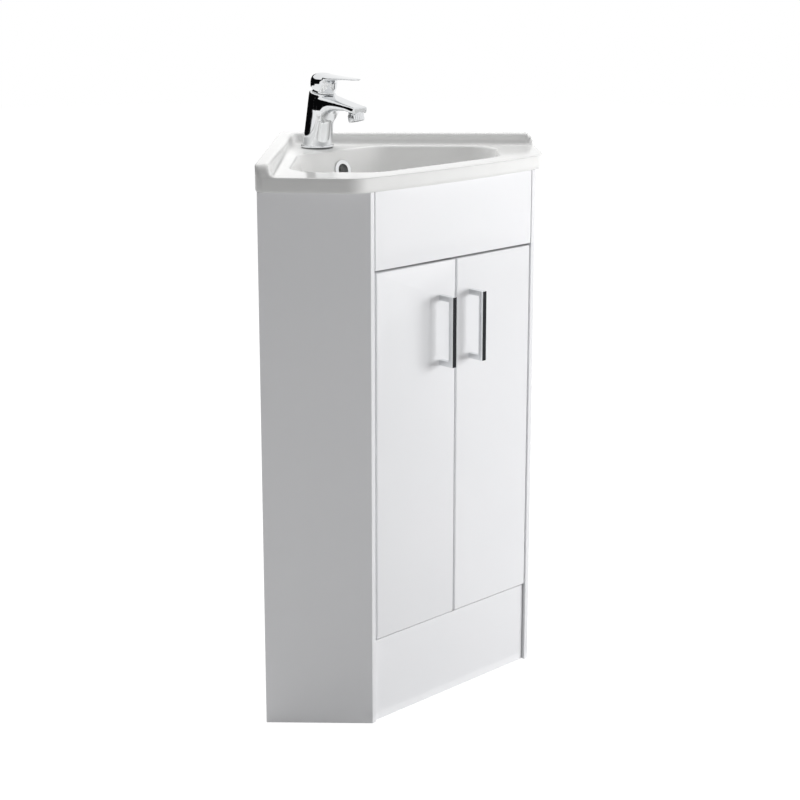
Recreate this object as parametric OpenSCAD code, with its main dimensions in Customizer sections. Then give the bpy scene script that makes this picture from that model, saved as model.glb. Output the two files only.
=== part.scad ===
// Corner vanity unit: a five-sided cupboard for a room corner, with a ceramic basin and a
// single-lever mixer tap. Millimetres. X runs across the front, -Y faces the room, +Z is up.
// Plan positions are given as (x, t): x from the middle line, t out from the room corner.

/* [Cupboard] */
// Height of the cupboard without the basin
cupboard_h = 785; // [740:1:850]
// Length of each side that stands against a wall
wall_side = 394; // [375:1:430]
// Width of each short side panel, square to the wall
return_w = 156; // [145:1:165]
// Thickness of the short side panels
side_t = 18; // [16:1:19]
// Thickness of the back panels
back_t = 15; // [12:1:16]
// Thickness of the doors, the fascia and the plinth
front_t = 18; // [16:1:19]
// Thickness of the base panel
base_t = 18; // [15:1:20]
// Height of the plinth, up to the base panel
plinth_h = 125.5; // [100:0.5:150]
// How far the plinth stands behind the door faces
plinth_setback = 4.5; // [2:0.5:8]
// Height of the fascia above the doors
fascia_h = 110.5; // [95:0.5:125]
// Width of the front strip on each side panel
strip_w = 7; // [5:0.5:9]
// Gap between a door and its neighbours
door_gap = 3; // [2.5:0.5:3.5]
// Gap between the fascia or plinth and the side panels
panel_gap = 1.5; // [1:0.5:2]
// Radius of the soft edges round the doors
door_edge_r = 2; // [1:0.5:3]
// Open length left at the room corner of each back panel, for the pipes
service_gap = 100; // [90:5:120]

/* [Shelf] */
// Thickness of the shelf
shelf_t = 15; // [12:1:18]
// Height of the shelf's top face
shelf_z = 405; // [330:5:450]
// Depth kept free between the shelf and the doors
shelf_setback = 40; // [30:5:60]
// Diameter of the shelf pegs
peg_d = 5; // [4:0.5:6]

/* [Handles] */
// Distance between the two screws of a handle
handle_centres = 96; // [64:1:128]
// Side of the handle's square bar
handle_bar = 8; // [7:0.5:10]
// How far a handle stands out from the door
handle_reach = 28; // [24:1:34]
// Distance from the middle line to each handle
handle_x = 31; // [22:1:45]
// From the top edge of the doors down to the middle of the handles
handle_drop = 100.5; // [80:0.5:150]

/* [Hinges] */
// Diameter of the hinge cups let into the doors
cup_d = 35; // [35:1:36]
// Depth of the hinge cups
cup_depth = 11.5; // [11:0.5:12.5]
// From the hinge edge of the door to the middle of a cup
cup_edge = 22.5; // [21.5:0.5:24]
// From each end of a door to its hinge
hinge_end = 100; // [80:5:130]

/* [Basin] */
// Height of the basin's outer edge
basin_edge_h = 21; // [18:1:26]
// Height of the upstand along the walls above the deck
upstand_h = 17; // [12:1:22]
// Width of the flat top of the upstand
upstand_w = 13; // [10:1:16]
// Radius of the cove between upstand and deck
cove_r = 14; // [8:1:15]
// How far the basin reaches behind the back panels
basin_behind = 3; // [1:1:5]
// Overhang past the side panels at the wall
overhang_wall = 3; // [1:1:8]
// Overhang past the side panels at the front
overhang_side = 14; // [8:1:18]
// Overhang past the doors at the middle of the bowed front
overhang_front = 8.5; // [6:0.5:12]
// Depth of the bowl below the deck
bowl_depth = 107; // [95:1:115]
// Thickness of the bowl's wall
ceramic_t = 9; // [7:1:10]
// Thickness of the deck
deck_t = 11; // [9:1:13]
// Thickness of the ceramic round the waste
floor_t = 18; // [16:1:22]
// From the room corner to the bowl's rear edge
bowl_rear = 135; // [130:1:145]
// Width of the deck in front of the bowl
front_rim = 40; // [36:1:50]
// From the wall to the bowl
wall_rim = 38; // [34:1:42]
// Width of the deck beside the bowl, over the side panels
side_rim = 54; // [48:1:64]
// Diameter of the tap hole
tap_hole_d = 35; // [34:1:36]
// Diameter of the waste hole
waste_hole_d = 45; // [44:1:46]
// From the room corner to the waste
waste_from_corner = 240; // [230:1:250]
// Diameter of the overflow hole
overflow_d = 22; // [20:1:24]

/* [Waste] */
// Diameter of the waste tail's free end, where the trap fits
tail_d = 41.9; // [41:0.1:42.2]
// Diameter of the waste tail above its free end
shank_d = 42.8; // [42.6:0.1:43.4]
// Diameter of the waste's top flange
flange_d = 62; // [58:1:66]
// Length of the waste body below the bowl floor
tail_len = 78; // [70:1:90]
// Diameter of the plug
plug_d = 46; // [42:1:50]
// How far the plug lifts to open
plug_lift = 7; // [5:1:9]

/* [Tap] */
// From the room corner to the tap
tap_from_corner = 85; // [80:1:88]
// Forward lean of the tap's body in degrees
tap_lean = 10; // [6:1:12]
// Height of the body up to the collar, along its lean
tap_body_h = 87.5; // [82:0.5:95]
// Diameter of the body at the collar
tap_body_d = 42; // [41:1:44]
// Diameter of the base flange
tap_base_d = 52; // [48:1:54]
// Reach from the body's axis to the spout's end
spout_reach = 87; // [84:1:92]
// Width of the spout's end
spout_w = 29; // [27:1:31]
// Height of the spout's end
spout_h = 10.5; // [9:0.5:12]
// Diameter of the aerator
aerator_d = 24.6; // [24:0.1:26]
// Length of the lever from the body's axis to its tip
lever_len = 76; // [72:1:84]
// Greatest lift of the lever in degrees
lever_lift_max = 18; // [12:1:18]

/* [Hidden] */

root2 = sqrt(2);
slip = 0.1;
seat = 0.3;
skin = 0.01;
white = "#f2f3f4";
chrome = "#c9cbcd";

// The front line and the middle of the model, measured out from the room corner
front_line = (wall_side + return_w) / root2;
half_front = (wall_side - return_w) / root2;
opening_half = half_front - strip_w;
panel_back = front_line - front_t;
basin_rear_r = 12;
rear_point = -basin_behind * root2 + basin_rear_r * (root2 - 1);
corner_y = (rear_point + front_line + handle_reach) / 2;

// A plan point in the model's own axes
function plan(x, t) = [x, corner_y - t];

// Where the inner face of a side panel is, as x + t
inner_sum = (wall_side - side_t) * root2;
// Where the inner face of a back panel is, as t - x
back_offset = back_t * root2;

base_z = plinth_h;
base_top = base_z + base_t;
door_low = plinth_h + door_gap;
fascia_low = cupboard_h - fascia_h;
door_high = fascia_low - door_gap;
door_x0 = door_gap / 2;
door_x1 = opening_half - door_gap;
hinge_x = opening_half - door_gap / 2;
handle_z = door_high - handle_drop;
buffer_t = 2;
board_front = panel_back - buffer_t;
deck_z = cupboard_h + basin_edge_h;

module both_sides() {
    children();
    mirror([1, 0, 0]) children();
}

module left() {
    mirror([1, 0, 0]) children();
}

// Frame of the right-hand wall: x along the wall from the corner, -y into the room
module along_wall() {
    translate([0, corner_y, 0]) rotate([0, 0, -45]) children();
}

// ---- outlines with rounded corners ----

least_r = 6;

function unit2(v) = v / norm(v);

// Arc that rounds the corner b between a and c; b holds x, t and the radius
function corner_arc(a, b, c, steps) =
    let (p = [b[0], b[1]],
         u = unit2([a[0], a[1]] - p),
         v = unit2([c[0], c[1]] - p),
         half = acos(u * v) / 2,
         centre = p + unit2(u + v) * b[2] / sin(half),
         from = p + u * b[2] / tan(half) - centre,
         to = p + v * b[2] / tan(half) - centre,
         first = atan2(from[1], from[0]),
         sweep = (atan2(to[1], to[0]) - first + 540) % 360 - 180)
    [for (i = [0:steps]) centre + b[2] * [cos(first + sweep * i / steps), sin(first + sweep * i / steps)]];

function rounded(corners, steps = 6) =
    let (n = len(corners))
    [for (i = [0:n - 1])
        each corner_arc(corners[(i + n - 1) % n], corners[i], corners[(i + 1) % n], steps)];

// The corners of an outline drawn in by d on every side
function drawn_in(corners, d) =
    let (n = len(corners))
    [for (i = [0:n - 1])
        let (a = corners[(i + n - 1) % n],
             b = corners[i],
             c = corners[(i + 1) % n],
             u = unit2([a[0] - b[0], a[1] - b[1]]),
             v = unit2([c[0] - b[0], c[1] - b[1]]),
             move = unit2(u + v) * d / sin(acos(u * v) / 2))
        [b[0] + move[0], b[1] + move[1], max(b[2] - d, least_r)]];

function in_plan(points) = [for (p = points) plan(p[0], p[1])];

// ---- boards ----

module board(points, z0, z1) {
    translate([0, 0, z0]) linear_extrude(z1 - z0) polygon(in_plan(points));
}

// Right-hand side panel: its front end is cut to a narrow strip in line with the doors
module side_board() {
    wall_out = wall_side / root2;
    wall_in = (wall_side - side_t) / root2;
    board([
        [wall_out, wall_out],
        [half_front, front_line],
        [opening_half, front_line],
        [opening_half, inner_sum - opening_half],
        [wall_in, wall_in]
    ], 0, cupboard_h);
}

peg_depth = 9;
peg_len = 18;
peg_z = shelf_z - shelf_t - peg_d / 2;
peg_from_corner = 217;
peg_from_front = 76;

module peg_holes() {
    along_wall() {
        translate([peg_from_corner, -back_t + peg_depth, peg_z])
            rotate([90, 0, 0]) cylinder(h = 40, d = peg_d + 2 * slip, $fn = 32);
        translate([wall_side - side_t + peg_depth, -(return_w - peg_from_front), peg_z])
            rotate([0, -90, 0]) cylinder(h = 40, d = peg_d + 2 * slip, $fn = 32);
    }
}

cam_d = 15;
cam_depth = 12;
cam_inset = 34;
cam_bolt_d = 7;
cam_bolt_bite = 10;
cam_end = 60;
cam_middle = 450;
cam_heights = [cam_end, cam_middle, cupboard_h - cam_end];

module cam_cuts() {
    along_wall() for (z = cam_heights) {
        translate([wall_side - side_t - cam_inset, -back_t - skin, z])
            rotate([-90, 0, 0]) cylinder(h = cam_depth + seat, d = cam_d + 2 * slip, $fn = 48);
        translate([wall_side - side_t - cam_inset, -back_t / 2, z])
            rotate([0, 90, 0])
                cylinder(h = cam_inset + cam_bolt_bite + seat, d = cam_bolt_d + 2 * slip, $fn = 32);
    }
}

plate_len = 42;
plate_w = 16;
plate_t = 4;
plate_from_front = 30;
plate_screw_d = 3.5;
plate_screw_len = 10;
plate_head_d = 7;
plate_head_h = 1.8;
plate_screw_span = 15.12;
hinge_heights = [door_low + hinge_end, door_high - hinge_end];

// Frame on the inner face of the right side panel: x along the panel from its front
// edge towards the wall, y into the cupboard, z up
module on_inner_face() {
    translate([opening_half, corner_y - (inner_sum - opening_half), 0])
        rotate([0, 0, 45]) children();
}

module plate_screw_holes() {
    on_inner_face() for (z = hinge_heights, s = [-1, 1])
        translate([plate_from_front, -plate_screw_len - 1, z + s * plate_screw_span])
            rotate([-90, 0, 0]) cylinder(h = plate_screw_len + 2, d = plate_screw_d + 2 * slip, $fn = 24);
}

module left_side_panel() {
    color(white) left() cut_side_panel();
}

module right_side_panel() {
    color(white) cut_side_panel();
}

module cut_side_panel() {
    difference() {
        side_board();
        peg_holes();
        cam_cuts();
        plate_screw_holes();
    }
}

wall_screw_d = 6;
wall_screw_inner = 40;
wall_screw_outer = 90;
wall_screw_drop = 150;
wall_screw_x = [service_gap + wall_screw_inner, wall_side - wall_screw_outer];
wall_screw_z = cupboard_h - wall_screw_drop;

module back_board() {
    difference() {
        along_wall() translate([service_gap, -back_t, 0])
            cube([wall_side - side_t - service_gap, back_t, cupboard_h]);
        peg_holes();
        cam_cuts();
        along_wall() for (x = wall_screw_x)
            translate([x, 1, wall_screw_z]) rotate([90, 0, 0])
                cylinder(h = back_t + 2, d = wall_screw_d, $fn = 32);
    }
}

module left_back_panel() {
    color(white) left() back_board();
}

module right_back_panel() {
    color(white) back_board();
}

// Five-sided board that fills the cupboard between the panels
module inside_board(z0, thick, back_line, front, gap) {
    wall_t = (inner_sum - gap * root2 + back_offset + gap * root2) / 2;
    wall_x = wall_t - back_offset - gap * root2;
    side_x = inner_sum - gap * root2 - front;
    rear_x = back_line - back_offset - gap * root2;
    board([
        [rear_x, back_line],
        [wall_x, wall_t],
        [side_x, front],
        [-side_x, front],
        [-wall_x, wall_t],
        [-rear_x, back_line]
    ], z0, z0 + thick);
}

rear_edge = service_gap * root2 / 2 + 12;

module base_panel() {
    color(white) inside_board(base_z, base_t, rear_edge, board_front, 0);
}

stretcher_h = 80;
stretcher_z = 560;
stretcher_t = 15;

// Board across the service gap that ties the two back panels together
module rear_stretcher() {
    end_x = rear_edge - back_offset;
    color(white) board([
        [end_x, rear_edge],
        [end_x + stretcher_t, rear_edge + stretcher_t],
        [-end_x - stretcher_t, rear_edge + stretcher_t],
        [-end_x, rear_edge]
    ], stretcher_z, stretcher_z + stretcher_h);
}

batten_leg = 31;
batten_t = 14;
batten_screw_d = 4;
batten_screw_len = 26;
fascia_batten_z = [fascia_low + 12, cupboard_h - 18];
plinth_batten_z = [12, plinth_h - 10];
plinth_back = panel_back - plinth_setback;

// Wedge-shaped batten in the corner between a front board and a side panel
module batten(back, z) {
    knee = inner_sum - back;
    board([
        [knee - batten_leg, back],
        [knee, back],
        [knee + batten_t, back - batten_t],
        [knee, back - 2 * batten_t],
        [knee - 4, back - batten_t - 4],
        [knee - batten_leg, back - batten_t - 4]
    ], z[0], z[1]);
}

module batten_screw_at(back, z) {
    for (h = [z[0] + 20, z[1] - 20])
        translate([inner_sum - back - batten_leg + 10, corner_y - back + batten_screw_len - 12, h])
            rotate([90, 0, 0]) children();
}

module batten_screw_cut() {
    translate([0, 0, -8]) cylinder(h = batten_screw_len + 8 + seat, d = batten_screw_d + 2 * slip, $fn = 24);
    translate([0, 0, -8]) cylinder(h = 8 + 2.5, d = 8 + 2 * slip, $fn = 24);
}

module batten_screw() {
    cylinder(h = batten_screw_len, d = batten_screw_d, $fn = 24);
    difference() {
        cylinder(h = 2.3, d = 8, $fn = 24);
        for (a = [0, 90]) rotate([0, 0, a]) translate([-2.5, -0.5, -skin]) cube([5, 1, 1.4]);
    }
}

module plinth() {
    half = opening_half - panel_gap;
    color(white) difference() {
        board([
            [half, plinth_back], [half, plinth_back + front_t],
            [-half, plinth_back + front_t], [-half, plinth_back]
        ], 0, plinth_h);
        both_sides() batten_screw_at(plinth_back, plinth_batten_z) batten_screw_cut();
    }
}

module fascia() {
    half = opening_half - panel_gap;
    color(white) difference() {
        board([
            [half, panel_back], [half, front_line],
            [-half, front_line], [-half, panel_back]
        ], fascia_low, cupboard_h);
        both_sides() batten_screw_at(panel_back, fascia_batten_z) batten_screw_cut();
    }
}

module plinth_battens() {
    color("#d8c9a8") both_sides() difference() {
        batten(plinth_back, plinth_batten_z);
        batten_screw_at(plinth_back, plinth_batten_z) batten_screw_cut();
    }
}

module fascia_battens() {
    color("#d8c9a8") both_sides() difference() {
        batten(panel_back, fascia_batten_z);
        batten_screw_at(panel_back, fascia_batten_z) batten_screw_cut();
    }
}

module batten_screws() {
    color(chrome) both_sides() {
        batten_screw_at(plinth_back, plinth_batten_z) batten_screw();
        batten_screw_at(panel_back, fascia_batten_z) batten_screw();
    }
}

module cam_locks() {
    color("#b9bbbd") both_sides() along_wall() for (z = cam_heights)
        translate([wall_side - side_t - cam_inset, -back_t, z]) rotate([-90, 0, 0]) difference() {
            cylinder(h = cam_depth, d = cam_d, $fn = 48);
            translate([0, 0, back_t / 2]) rotate([0, 90, 0])
                cylinder(h = cam_d, d = cam_bolt_d + 2 * slip, $fn = 32);
            for (a = [0, 90]) rotate([0, 0, a]) translate([-4, -0.8, -skin]) cube([8, 1.6, 2]);
        }
}

module cam_bolts() {
    color(chrome) both_sides() along_wall() for (z = cam_heights)
        translate([wall_side - side_t - cam_inset + seat, -back_t / 2, z]) rotate([0, 90, 0])
            cylinder(h = cam_inset + cam_bolt_bite - seat, d = cam_bolt_d, $fn = 32);
}

module shelf() {
    color(white)
        inside_board(shelf_z - shelf_t, shelf_t, rear_edge + stretcher_t, board_front - shelf_setback, 1);
}

module shelf_pegs() {
    color(chrome) both_sides() along_wall() {
        translate([peg_from_corner, -back_t + peg_depth - seat, peg_z])
            rotate([90, 0, 0]) peg();
        translate([wall_side - side_t + peg_depth - seat, -(return_w - peg_from_front), peg_z])
            rotate([0, -90, 0]) peg();
    }
}

module peg() {
    cylinder(h = peg_len, d = peg_d, $fn = 32);
    translate([0, 0, peg_depth - seat]) cylinder(h = 1, d = peg_d + 3, $fn = 32);
}

// ---- doors ----

cup_x = door_x1 - cup_edge;
cup_screw_d = 3;
cup_screw_span = 24;
cup_screw_in = 9.5;
cup_screw_len = 11;
cup_screw_head_d = 6;
cup_screw_head_h = 1.6;

// Door leaf with softened edges round its front face
module door_leaf() {
    r = door_edge_r;
    w = door_x1 - door_x0;
    h = door_high - door_low;
    translate([door_x0, corner_y - front_line, door_low]) {
        translate([0, r, 0]) cube([w, front_t - r, h]);
        hull() {
            translate([r, r, r]) rotate([-90, 0, 0]) edge_pill(r);
            translate([w - r, r, r]) rotate([-90, 0, 0]) edge_pill(r);
            translate([r, r, h - r]) rotate([-90, 0, 0]) edge_pill(r);
            translate([w - r, r, h - r]) rotate([-90, 0, 0]) edge_pill(r);
        }
    }
}

module edge_pill(r) {
    sphere(r = r, $fn = 16);
    cylinder(h = skin, r = r, $fn = 16);
}

module hinge_drilling() {
    for (z = hinge_heights) {
        translate([cup_x, corner_y - panel_back + skin, z]) rotate([90, 0, 0])
            cylinder(h = cup_depth + seat, d = cup_d + 2 * slip, $fn = 64);
        for (s = [-1, 1])
            translate([cup_x - cup_screw_in, corner_y - panel_back + skin, z + s * cup_screw_span])
                rotate([90, 0, 0]) cylinder(h = cup_screw_len, d = cup_screw_d + 2 * slip, $fn = 24);
    }
}

handle_screw_d = 4;

module handle_drilling() {
    for (s = [-1, 1]) translate([handle_x, corner_y - panel_back + 1, handle_z + s * handle_centres / 2])
        rotate([90, 0, 0]) cylinder(h = front_t + 2, d = handle_screw_d + 1, $fn = 24);
}

module drilled_door() {
    difference() {
        door_leaf();
        hinge_drilling();
        handle_drilling();
    }
}

module left_door() {
    color(white) left() drilled_door();
}

module right_door() {
    color(white) drilled_door();
}

handle_hole_depth = 12;

module bow_handle() {
    b = handle_bar;
    long = handle_centres + b;
    translate([handle_x - b / 2, corner_y - front_line - handle_reach, handle_z - long / 2])
        difference() {
            cube([b, handle_reach, long]);
            translate([-1, b, b]) cube([b + 2, handle_reach, long - 2 * b]);
            for (z = [b / 2, long - b / 2]) translate([b / 2, handle_reach + skin, z])
                rotate([90, 0, 0])
                    cylinder(h = handle_hole_depth, d = handle_screw_d + 2 * slip, $fn = 24);
        }
}

module left_handle() {
    color(chrome) left() bow_handle();
}

module right_handle() {
    color(chrome) bow_handle();
}

module handle_screw_pair() {
    for (s = [-1, 1]) translate([handle_x, corner_y - panel_back + 2.2, handle_z + s * handle_centres / 2])
        rotate([90, 0, 0]) {
            cylinder(h = 2.2, d = 8.5, $fn = 32);
            cylinder(h = front_t + 2.2 + handle_hole_depth - 2, d = handle_screw_d, $fn = 24);
        }
}

module left_handle_screws() {
    color(chrome) left() handle_screw_pair();
}

module right_handle_screws() {
    color(chrome) handle_screw_pair();
}

cup_wall = 1.2;
cup_flange_t = 1.4;

module cup_pair() {
    for (z = hinge_heights) translate([cup_x, corner_y - panel_back, z]) rotate([90, 0, 0])
        difference() {
            union() {
                cylinder(h = cup_depth, d = cup_d, $fn = 64);
                translate([0, 0, -cup_flange_t]) cylinder(h = cup_flange_t, d = cup_d + 5, $fn = 64);
                translate([-14.5, -cup_screw_span - 6, -cup_flange_t])
                    cube([11, 2 * cup_screw_span + 12, cup_flange_t]);
            }
            translate([0, 0, -cup_flange_t - skin])
                cylinder(h = cup_depth + cup_flange_t - cup_wall, d = cup_d - 2 * cup_wall, $fn = 64);
            for (s = [-1, 1]) translate([-cup_screw_in, s * cup_screw_span, -cup_flange_t - 1])
                cylinder(h = cup_flange_t + 2, d = cup_screw_d + 2 * slip, $fn = 24);
        }
}

module left_hinge_cups() {
    color(chrome) left() cup_pair();
}

module right_hinge_cups() {
    color(chrome) cup_pair();
}

module cup_screw_set() {
    for (z = hinge_heights, s = [-1, 1])
        translate([cup_x - cup_screw_in, corner_y - panel_back + cup_flange_t, z + s * cup_screw_span])
            rotate([90, 0, 0]) {
                translate([0, 0, -cup_screw_head_h])
                    cylinder(h = cup_screw_head_h, d = cup_screw_head_d, $fn = 24);
                cylinder(h = cup_screw_len, d = cup_screw_d, $fn = 24);
            }
}

module left_cup_screws() {
    color(chrome) left() cup_screw_set();
}

module right_cup_screws() {
    color(chrome) cup_screw_set();
}

arm_w = 11;
arm_nose = 5;

// Arm from the mounting plate to the mouth of the cup, bent to suit the slanting side panel
module hinge_arm(z) {
    nose_x = cup_x + 2;
    nose_y = corner_y - panel_back - arm_nose;
    hull() {
        translate([nose_x - 5, nose_y, z - arm_w / 2]) cube([9, 1, arm_w]);
        translate([nose_x - 5, corner_y - panel_back + 9, z - arm_w / 2]) cube([9, 3, arm_w]);
    }
    hull() {
        translate([nose_x - 5, corner_y - panel_back + 9, z - arm_w / 2]) cube([9, 6, arm_w]);
        on_inner_face() translate([plate_from_front - 6, plate_t, z - arm_w / 2]) cube([16, 7, arm_w]);
    }
}

module hinge_arms() {
    color(chrome) both_sides() for (z = hinge_heights) hinge_arm(z);
}

module hinge_plates() {
    color(chrome) both_sides() on_inner_face() for (z = hinge_heights) difference() {
        translate([plate_from_front - plate_w / 2, 0, z - plate_len / 2])
            cube([plate_w, plate_t, plate_len]);
        for (s = [-1, 1]) translate([plate_from_front, -1, z + s * plate_screw_span])
            rotate([-90, 0, 0]) cylinder(h = plate_t + 2, d = plate_screw_d + 2 * slip, $fn = 24);
    }
}

module plate_screws() {
    color(chrome) both_sides() on_inner_face() for (z = hinge_heights, s = [-1, 1])
        translate([plate_from_front, -plate_screw_len, z + s * plate_screw_span]) rotate([-90, 0, 0]) {
            cylinder(h = plate_screw_len + plate_t, d = plate_screw_d, $fn = 24);
            translate([0, 0, plate_screw_len + plate_t])
                cylinder(h = plate_head_h, d = plate_head_d, $fn = 24);
        }
}

buffer_d = 8;
buffer_inner = 16;
buffer_outer = 60;

module door_buffers() {
    color("#e4e4e2") both_sides() for (x = [door_x0 + buffer_inner, door_x1 - buffer_outer])
        translate([x, corner_y - panel_back + buffer_t, base_z + base_t / 2]) rotate([90, 0, 0])
            cylinder(h = buffer_t - seat, d = buffer_d, $fn = 32);
}

// ---- basin ----

// Outline of the basin's outer edge, as corners with their radii
wall_end = wall_side + overhang_wall;
basin_front = front_line + overhang_front;
side_corner_out = 21.7;
side_corner_x = half_front + side_corner_out;
side_corner_t = (wall_side + overhang_side) * root2 - side_corner_x;
front_bow = 1.66 * (basin_front - side_corner_t);
basin_outline = [
    [0, -basin_behind * root2, basin_rear_r],
    [(wall_end + basin_behind) / root2, (wall_end - basin_behind) / root2, 14],
    [side_corner_x, side_corner_t, 40],
    [0, side_corner_t + front_bow, 1650],
    [-side_corner_x, side_corner_t, 40],
    [-(wall_end + basin_behind) / root2, (wall_end - basin_behind) / root2, 14]
];

// Outline of the bowl at the deck
bowl_front = basin_front - front_rim;
bowl_wall = wall_rim * root2;
bowl_side_sum = (wall_side - side_rim) * root2;
bowl_outline = [
    [bowl_rear - bowl_wall, bowl_rear, 45],
    [(bowl_side_sum - bowl_wall) / 2, (bowl_side_sum + bowl_wall) / 2, 48],
    [bowl_side_sum - bowl_front, bowl_front, 60],
    [-(bowl_side_sum - bowl_front), bowl_front, 60],
    [-(bowl_side_sum - bowl_wall) / 2, (bowl_side_sum + bowl_wall) / 2, 48],
    [-(bowl_rear - bowl_wall), bowl_rear, 45]
];

slice_t = 0.1;

module slice(corners, z, inset) {
    translate([0, 0, z]) linear_extrude(slice_t) polygon(in_plan(rounded(drawn_in(corners, inset))));
}

module waste_disc(z, r) {
    translate([0, corner_y - waste_from_corner, z]) cylinder(h = slice_t, r = r, $fn = 32);
}

// The block that the deck and upstands are cut from, with rounded outer edges
module basin_block() {
    top = deck_z + upstand_h;
    hull() {
        slice(basin_outline, cupboard_h, 1.5);
        slice(basin_outline, cupboard_h + 4, 0);
        slice(basin_outline, top - 4, 0);
        slice(basin_outline, top - 1.2, 1.4);
        slice(basin_outline, top, 4);
    }
}

// Upstand along the right-hand wall, with the cove at its foot
module upstand() {
    foot = upstand_w + cove_r - basin_behind;
    along_wall() difference() {
        translate([-wall_side, -foot, cupboard_h]) cube([3 * wall_side, 2 * foot, 3 * basin_edge_h]);
        translate([-2 * wall_side, -foot, deck_z + cove_r]) rotate([0, 90, 0])
            cylinder(h = 5 * wall_side, r = cove_r, $fn = 48);
        translate([-2 * wall_side, -foot - 1, deck_z + cove_r])
            cube([5 * wall_side, cove_r + 1, 3 * basin_edge_h]);
    }
}

// Everything up to the deck, and the upstands above it
module deck_and_upstands() {
    translate([-wall_side, -wall_side, 0]) cube([2 * wall_side, 2 * wall_side, deck_z]);
    both_sides() upstand();
}

bowl_floor = deck_z - bowl_depth;
bowl_under = bowl_floor - floor_t;
lip_h = 6;
lip_in = 3;
// Levels of the bowl below the deck, and how far its wall has drawn in at each
wall_low = 0.43 * bowl_depth;
wall_low_in = 13;
turn_low = 0.76 * bowl_depth;
turn_low_in = 28;
floor_low = 0.92 * bowl_depth;
floor_low_in = 48;

module bowl_inside() {
    hull() {
        slice(bowl_outline, deck_z + 1, 0);
        slice(bowl_outline, deck_z - lip_h, lip_in);
        slice(bowl_outline, deck_z - wall_low, wall_low_in);
        slice(bowl_outline, deck_z - turn_low, turn_low_in);
        slice(bowl_outline, deck_z - floor_low, floor_low_in);
        waste_disc(bowl_floor, flange_d / 2 + 1);
    }
}

module bowl_outside() {
    hull() {
        slice(bowl_outline, deck_z - deck_t - 1, lip_in - ceramic_t);
        slice(bowl_outline, deck_z - wall_low, wall_low_in - ceramic_t);
        slice(bowl_outline, deck_z - turn_low - 0.7 * ceramic_t, turn_low_in - ceramic_t);
        slice(bowl_outline, deck_z - floor_low - ceramic_t, floor_low_in - ceramic_t);
        waste_disc(bowl_under, flange_d / 2);
    }
}

// The overflow's ring sits just above the level where the bowl's wall begins to turn in
overflow_above = 16;
overflow_drop = wall_low - overflow_above;
overflow_z = deck_z - overflow_drop;
// Slope and place of the bowl's rear wall at the overflow
rear_lean = atan2(wall_low_in - lip_in, wall_low - lip_h);
overflow_wall = bowl_rear + lip_in + (overflow_drop - lip_h) * tan(rear_lean);

pocket_half = 24;
pocket_wall = 6;
pocket_space = 9;
pocket_back = bowl_rear - 22;
pocket_low = deck_z - bowl_depth + 7;
duct_d = 9;

// Hollow behind the bowl's rear wall, with its walls, and the duct down to the waste
module overflow_duct() {
    hull() {
        translate([-pocket_half, corner_y - overflow_wall, pocket_low])
            cube([2 * pocket_half, overflow_wall - pocket_back, deck_z - deck_t - pocket_low]);
        translate([0, corner_y - waste_from_corner + 16, bowl_under])
            cylinder(h = 8, r = 15, $fn = 32);
    }
}

module overflow_passage() {
    inner = pocket_back + pocket_wall;
    low = pocket_low + 8;
    translate([-pocket_half + pocket_wall, corner_y - inner - pocket_space, low])
        cube([2 * (pocket_half - pocket_wall), pocket_space, deck_z - deck_t - pocket_wall - low]);
    translate([0, corner_y - inner - pocket_space / 2, overflow_z]) rotate([90, 0, 0])
        cylinder(h = 40, d = overflow_d, $fn = 48);
    duct_from = inner + pocket_space / 2;
    duct_to = waste_from_corner - waste_hole_d / 2 + 2;
    fall = low + duct_d / 2 - (bowl_under + 8);
    translate([0, corner_y - duct_from, low + duct_d / 2])
        rotate([90 + atan2(fall, duct_to - duct_from), 0, 0])
            cylinder(h = norm([fall, duct_to - duct_from]), d = duct_d, $fn = 32);
}

rim_seat = 22;

// Hollow under the deck, inside the band that rests on the cupboard
module under_deck() {
    translate([0, 0, cupboard_h - 1]) linear_extrude(deck_z - deck_t - cupboard_h + 1)
        polygon(in_plan(rounded(drawn_in(basin_outline, rim_seat))));
}

module basin() {
    color("#eceeee") difference() {
        union() {
            difference() {
                intersection() {
                    basin_block();
                    deck_and_upstands();
                }
                under_deck();
            }
            bowl_outside();
            overflow_duct();
        }
        bowl_inside();
        overflow_passage();
        translate([0, corner_y - tap_from_corner, cupboard_h - 1])
            cylinder(h = 2 * basin_edge_h, d = tap_hole_d, $fn = 64);
        translate([0, corner_y - waste_from_corner, bowl_under - 1])
            cylinder(h = bowl_depth, d = waste_hole_d, $fn = 64);
    }
}

ring_lip = 4.5;
ring_t = 2;
ring_off = 0.25;
ring_sleeve = 12;

// Trim ring pressed into the overflow hole, its lip leaning with the bowl's rear wall
module overflow_ring() {
    color(chrome) translate([0, corner_y - overflow_wall, overflow_z]) rotate([90, 0, 0])
        difference() {
            union() {
                intersection() {
                    translate([0, 0, -ring_sleeve])
                        cylinder(h = 2 * ring_sleeve, d = overflow_d - 2 * slip, $fn = 48);
                    rotate([-rear_lean, 0, 0]) translate([-wall_side, -wall_side, -wall_side])
                        cube([2 * wall_side, 2 * wall_side, wall_side + ring_t]);
                }
                rotate([-rear_lean, 0, 0]) translate([0, 0, ring_off])
                    cylinder(h = ring_t, d = overflow_d + 2 * ring_lip, $fn = 48);
            }
            translate([0, 0, -2 * ring_sleeve])
                cylinder(h = 4 * ring_sleeve, d = overflow_d - 3, $fn = 48);
        }
}

// ---- waste ----

module at_waste(z = 0) {
    translate([0, corner_y - waste_from_corner, z]) children();
}

tail_bore = 35;
tail_free = 43;
flange_seal_t = 1.6;
guide_d = 8;
guide_drop = 34;
slot_w = 10;

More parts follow.
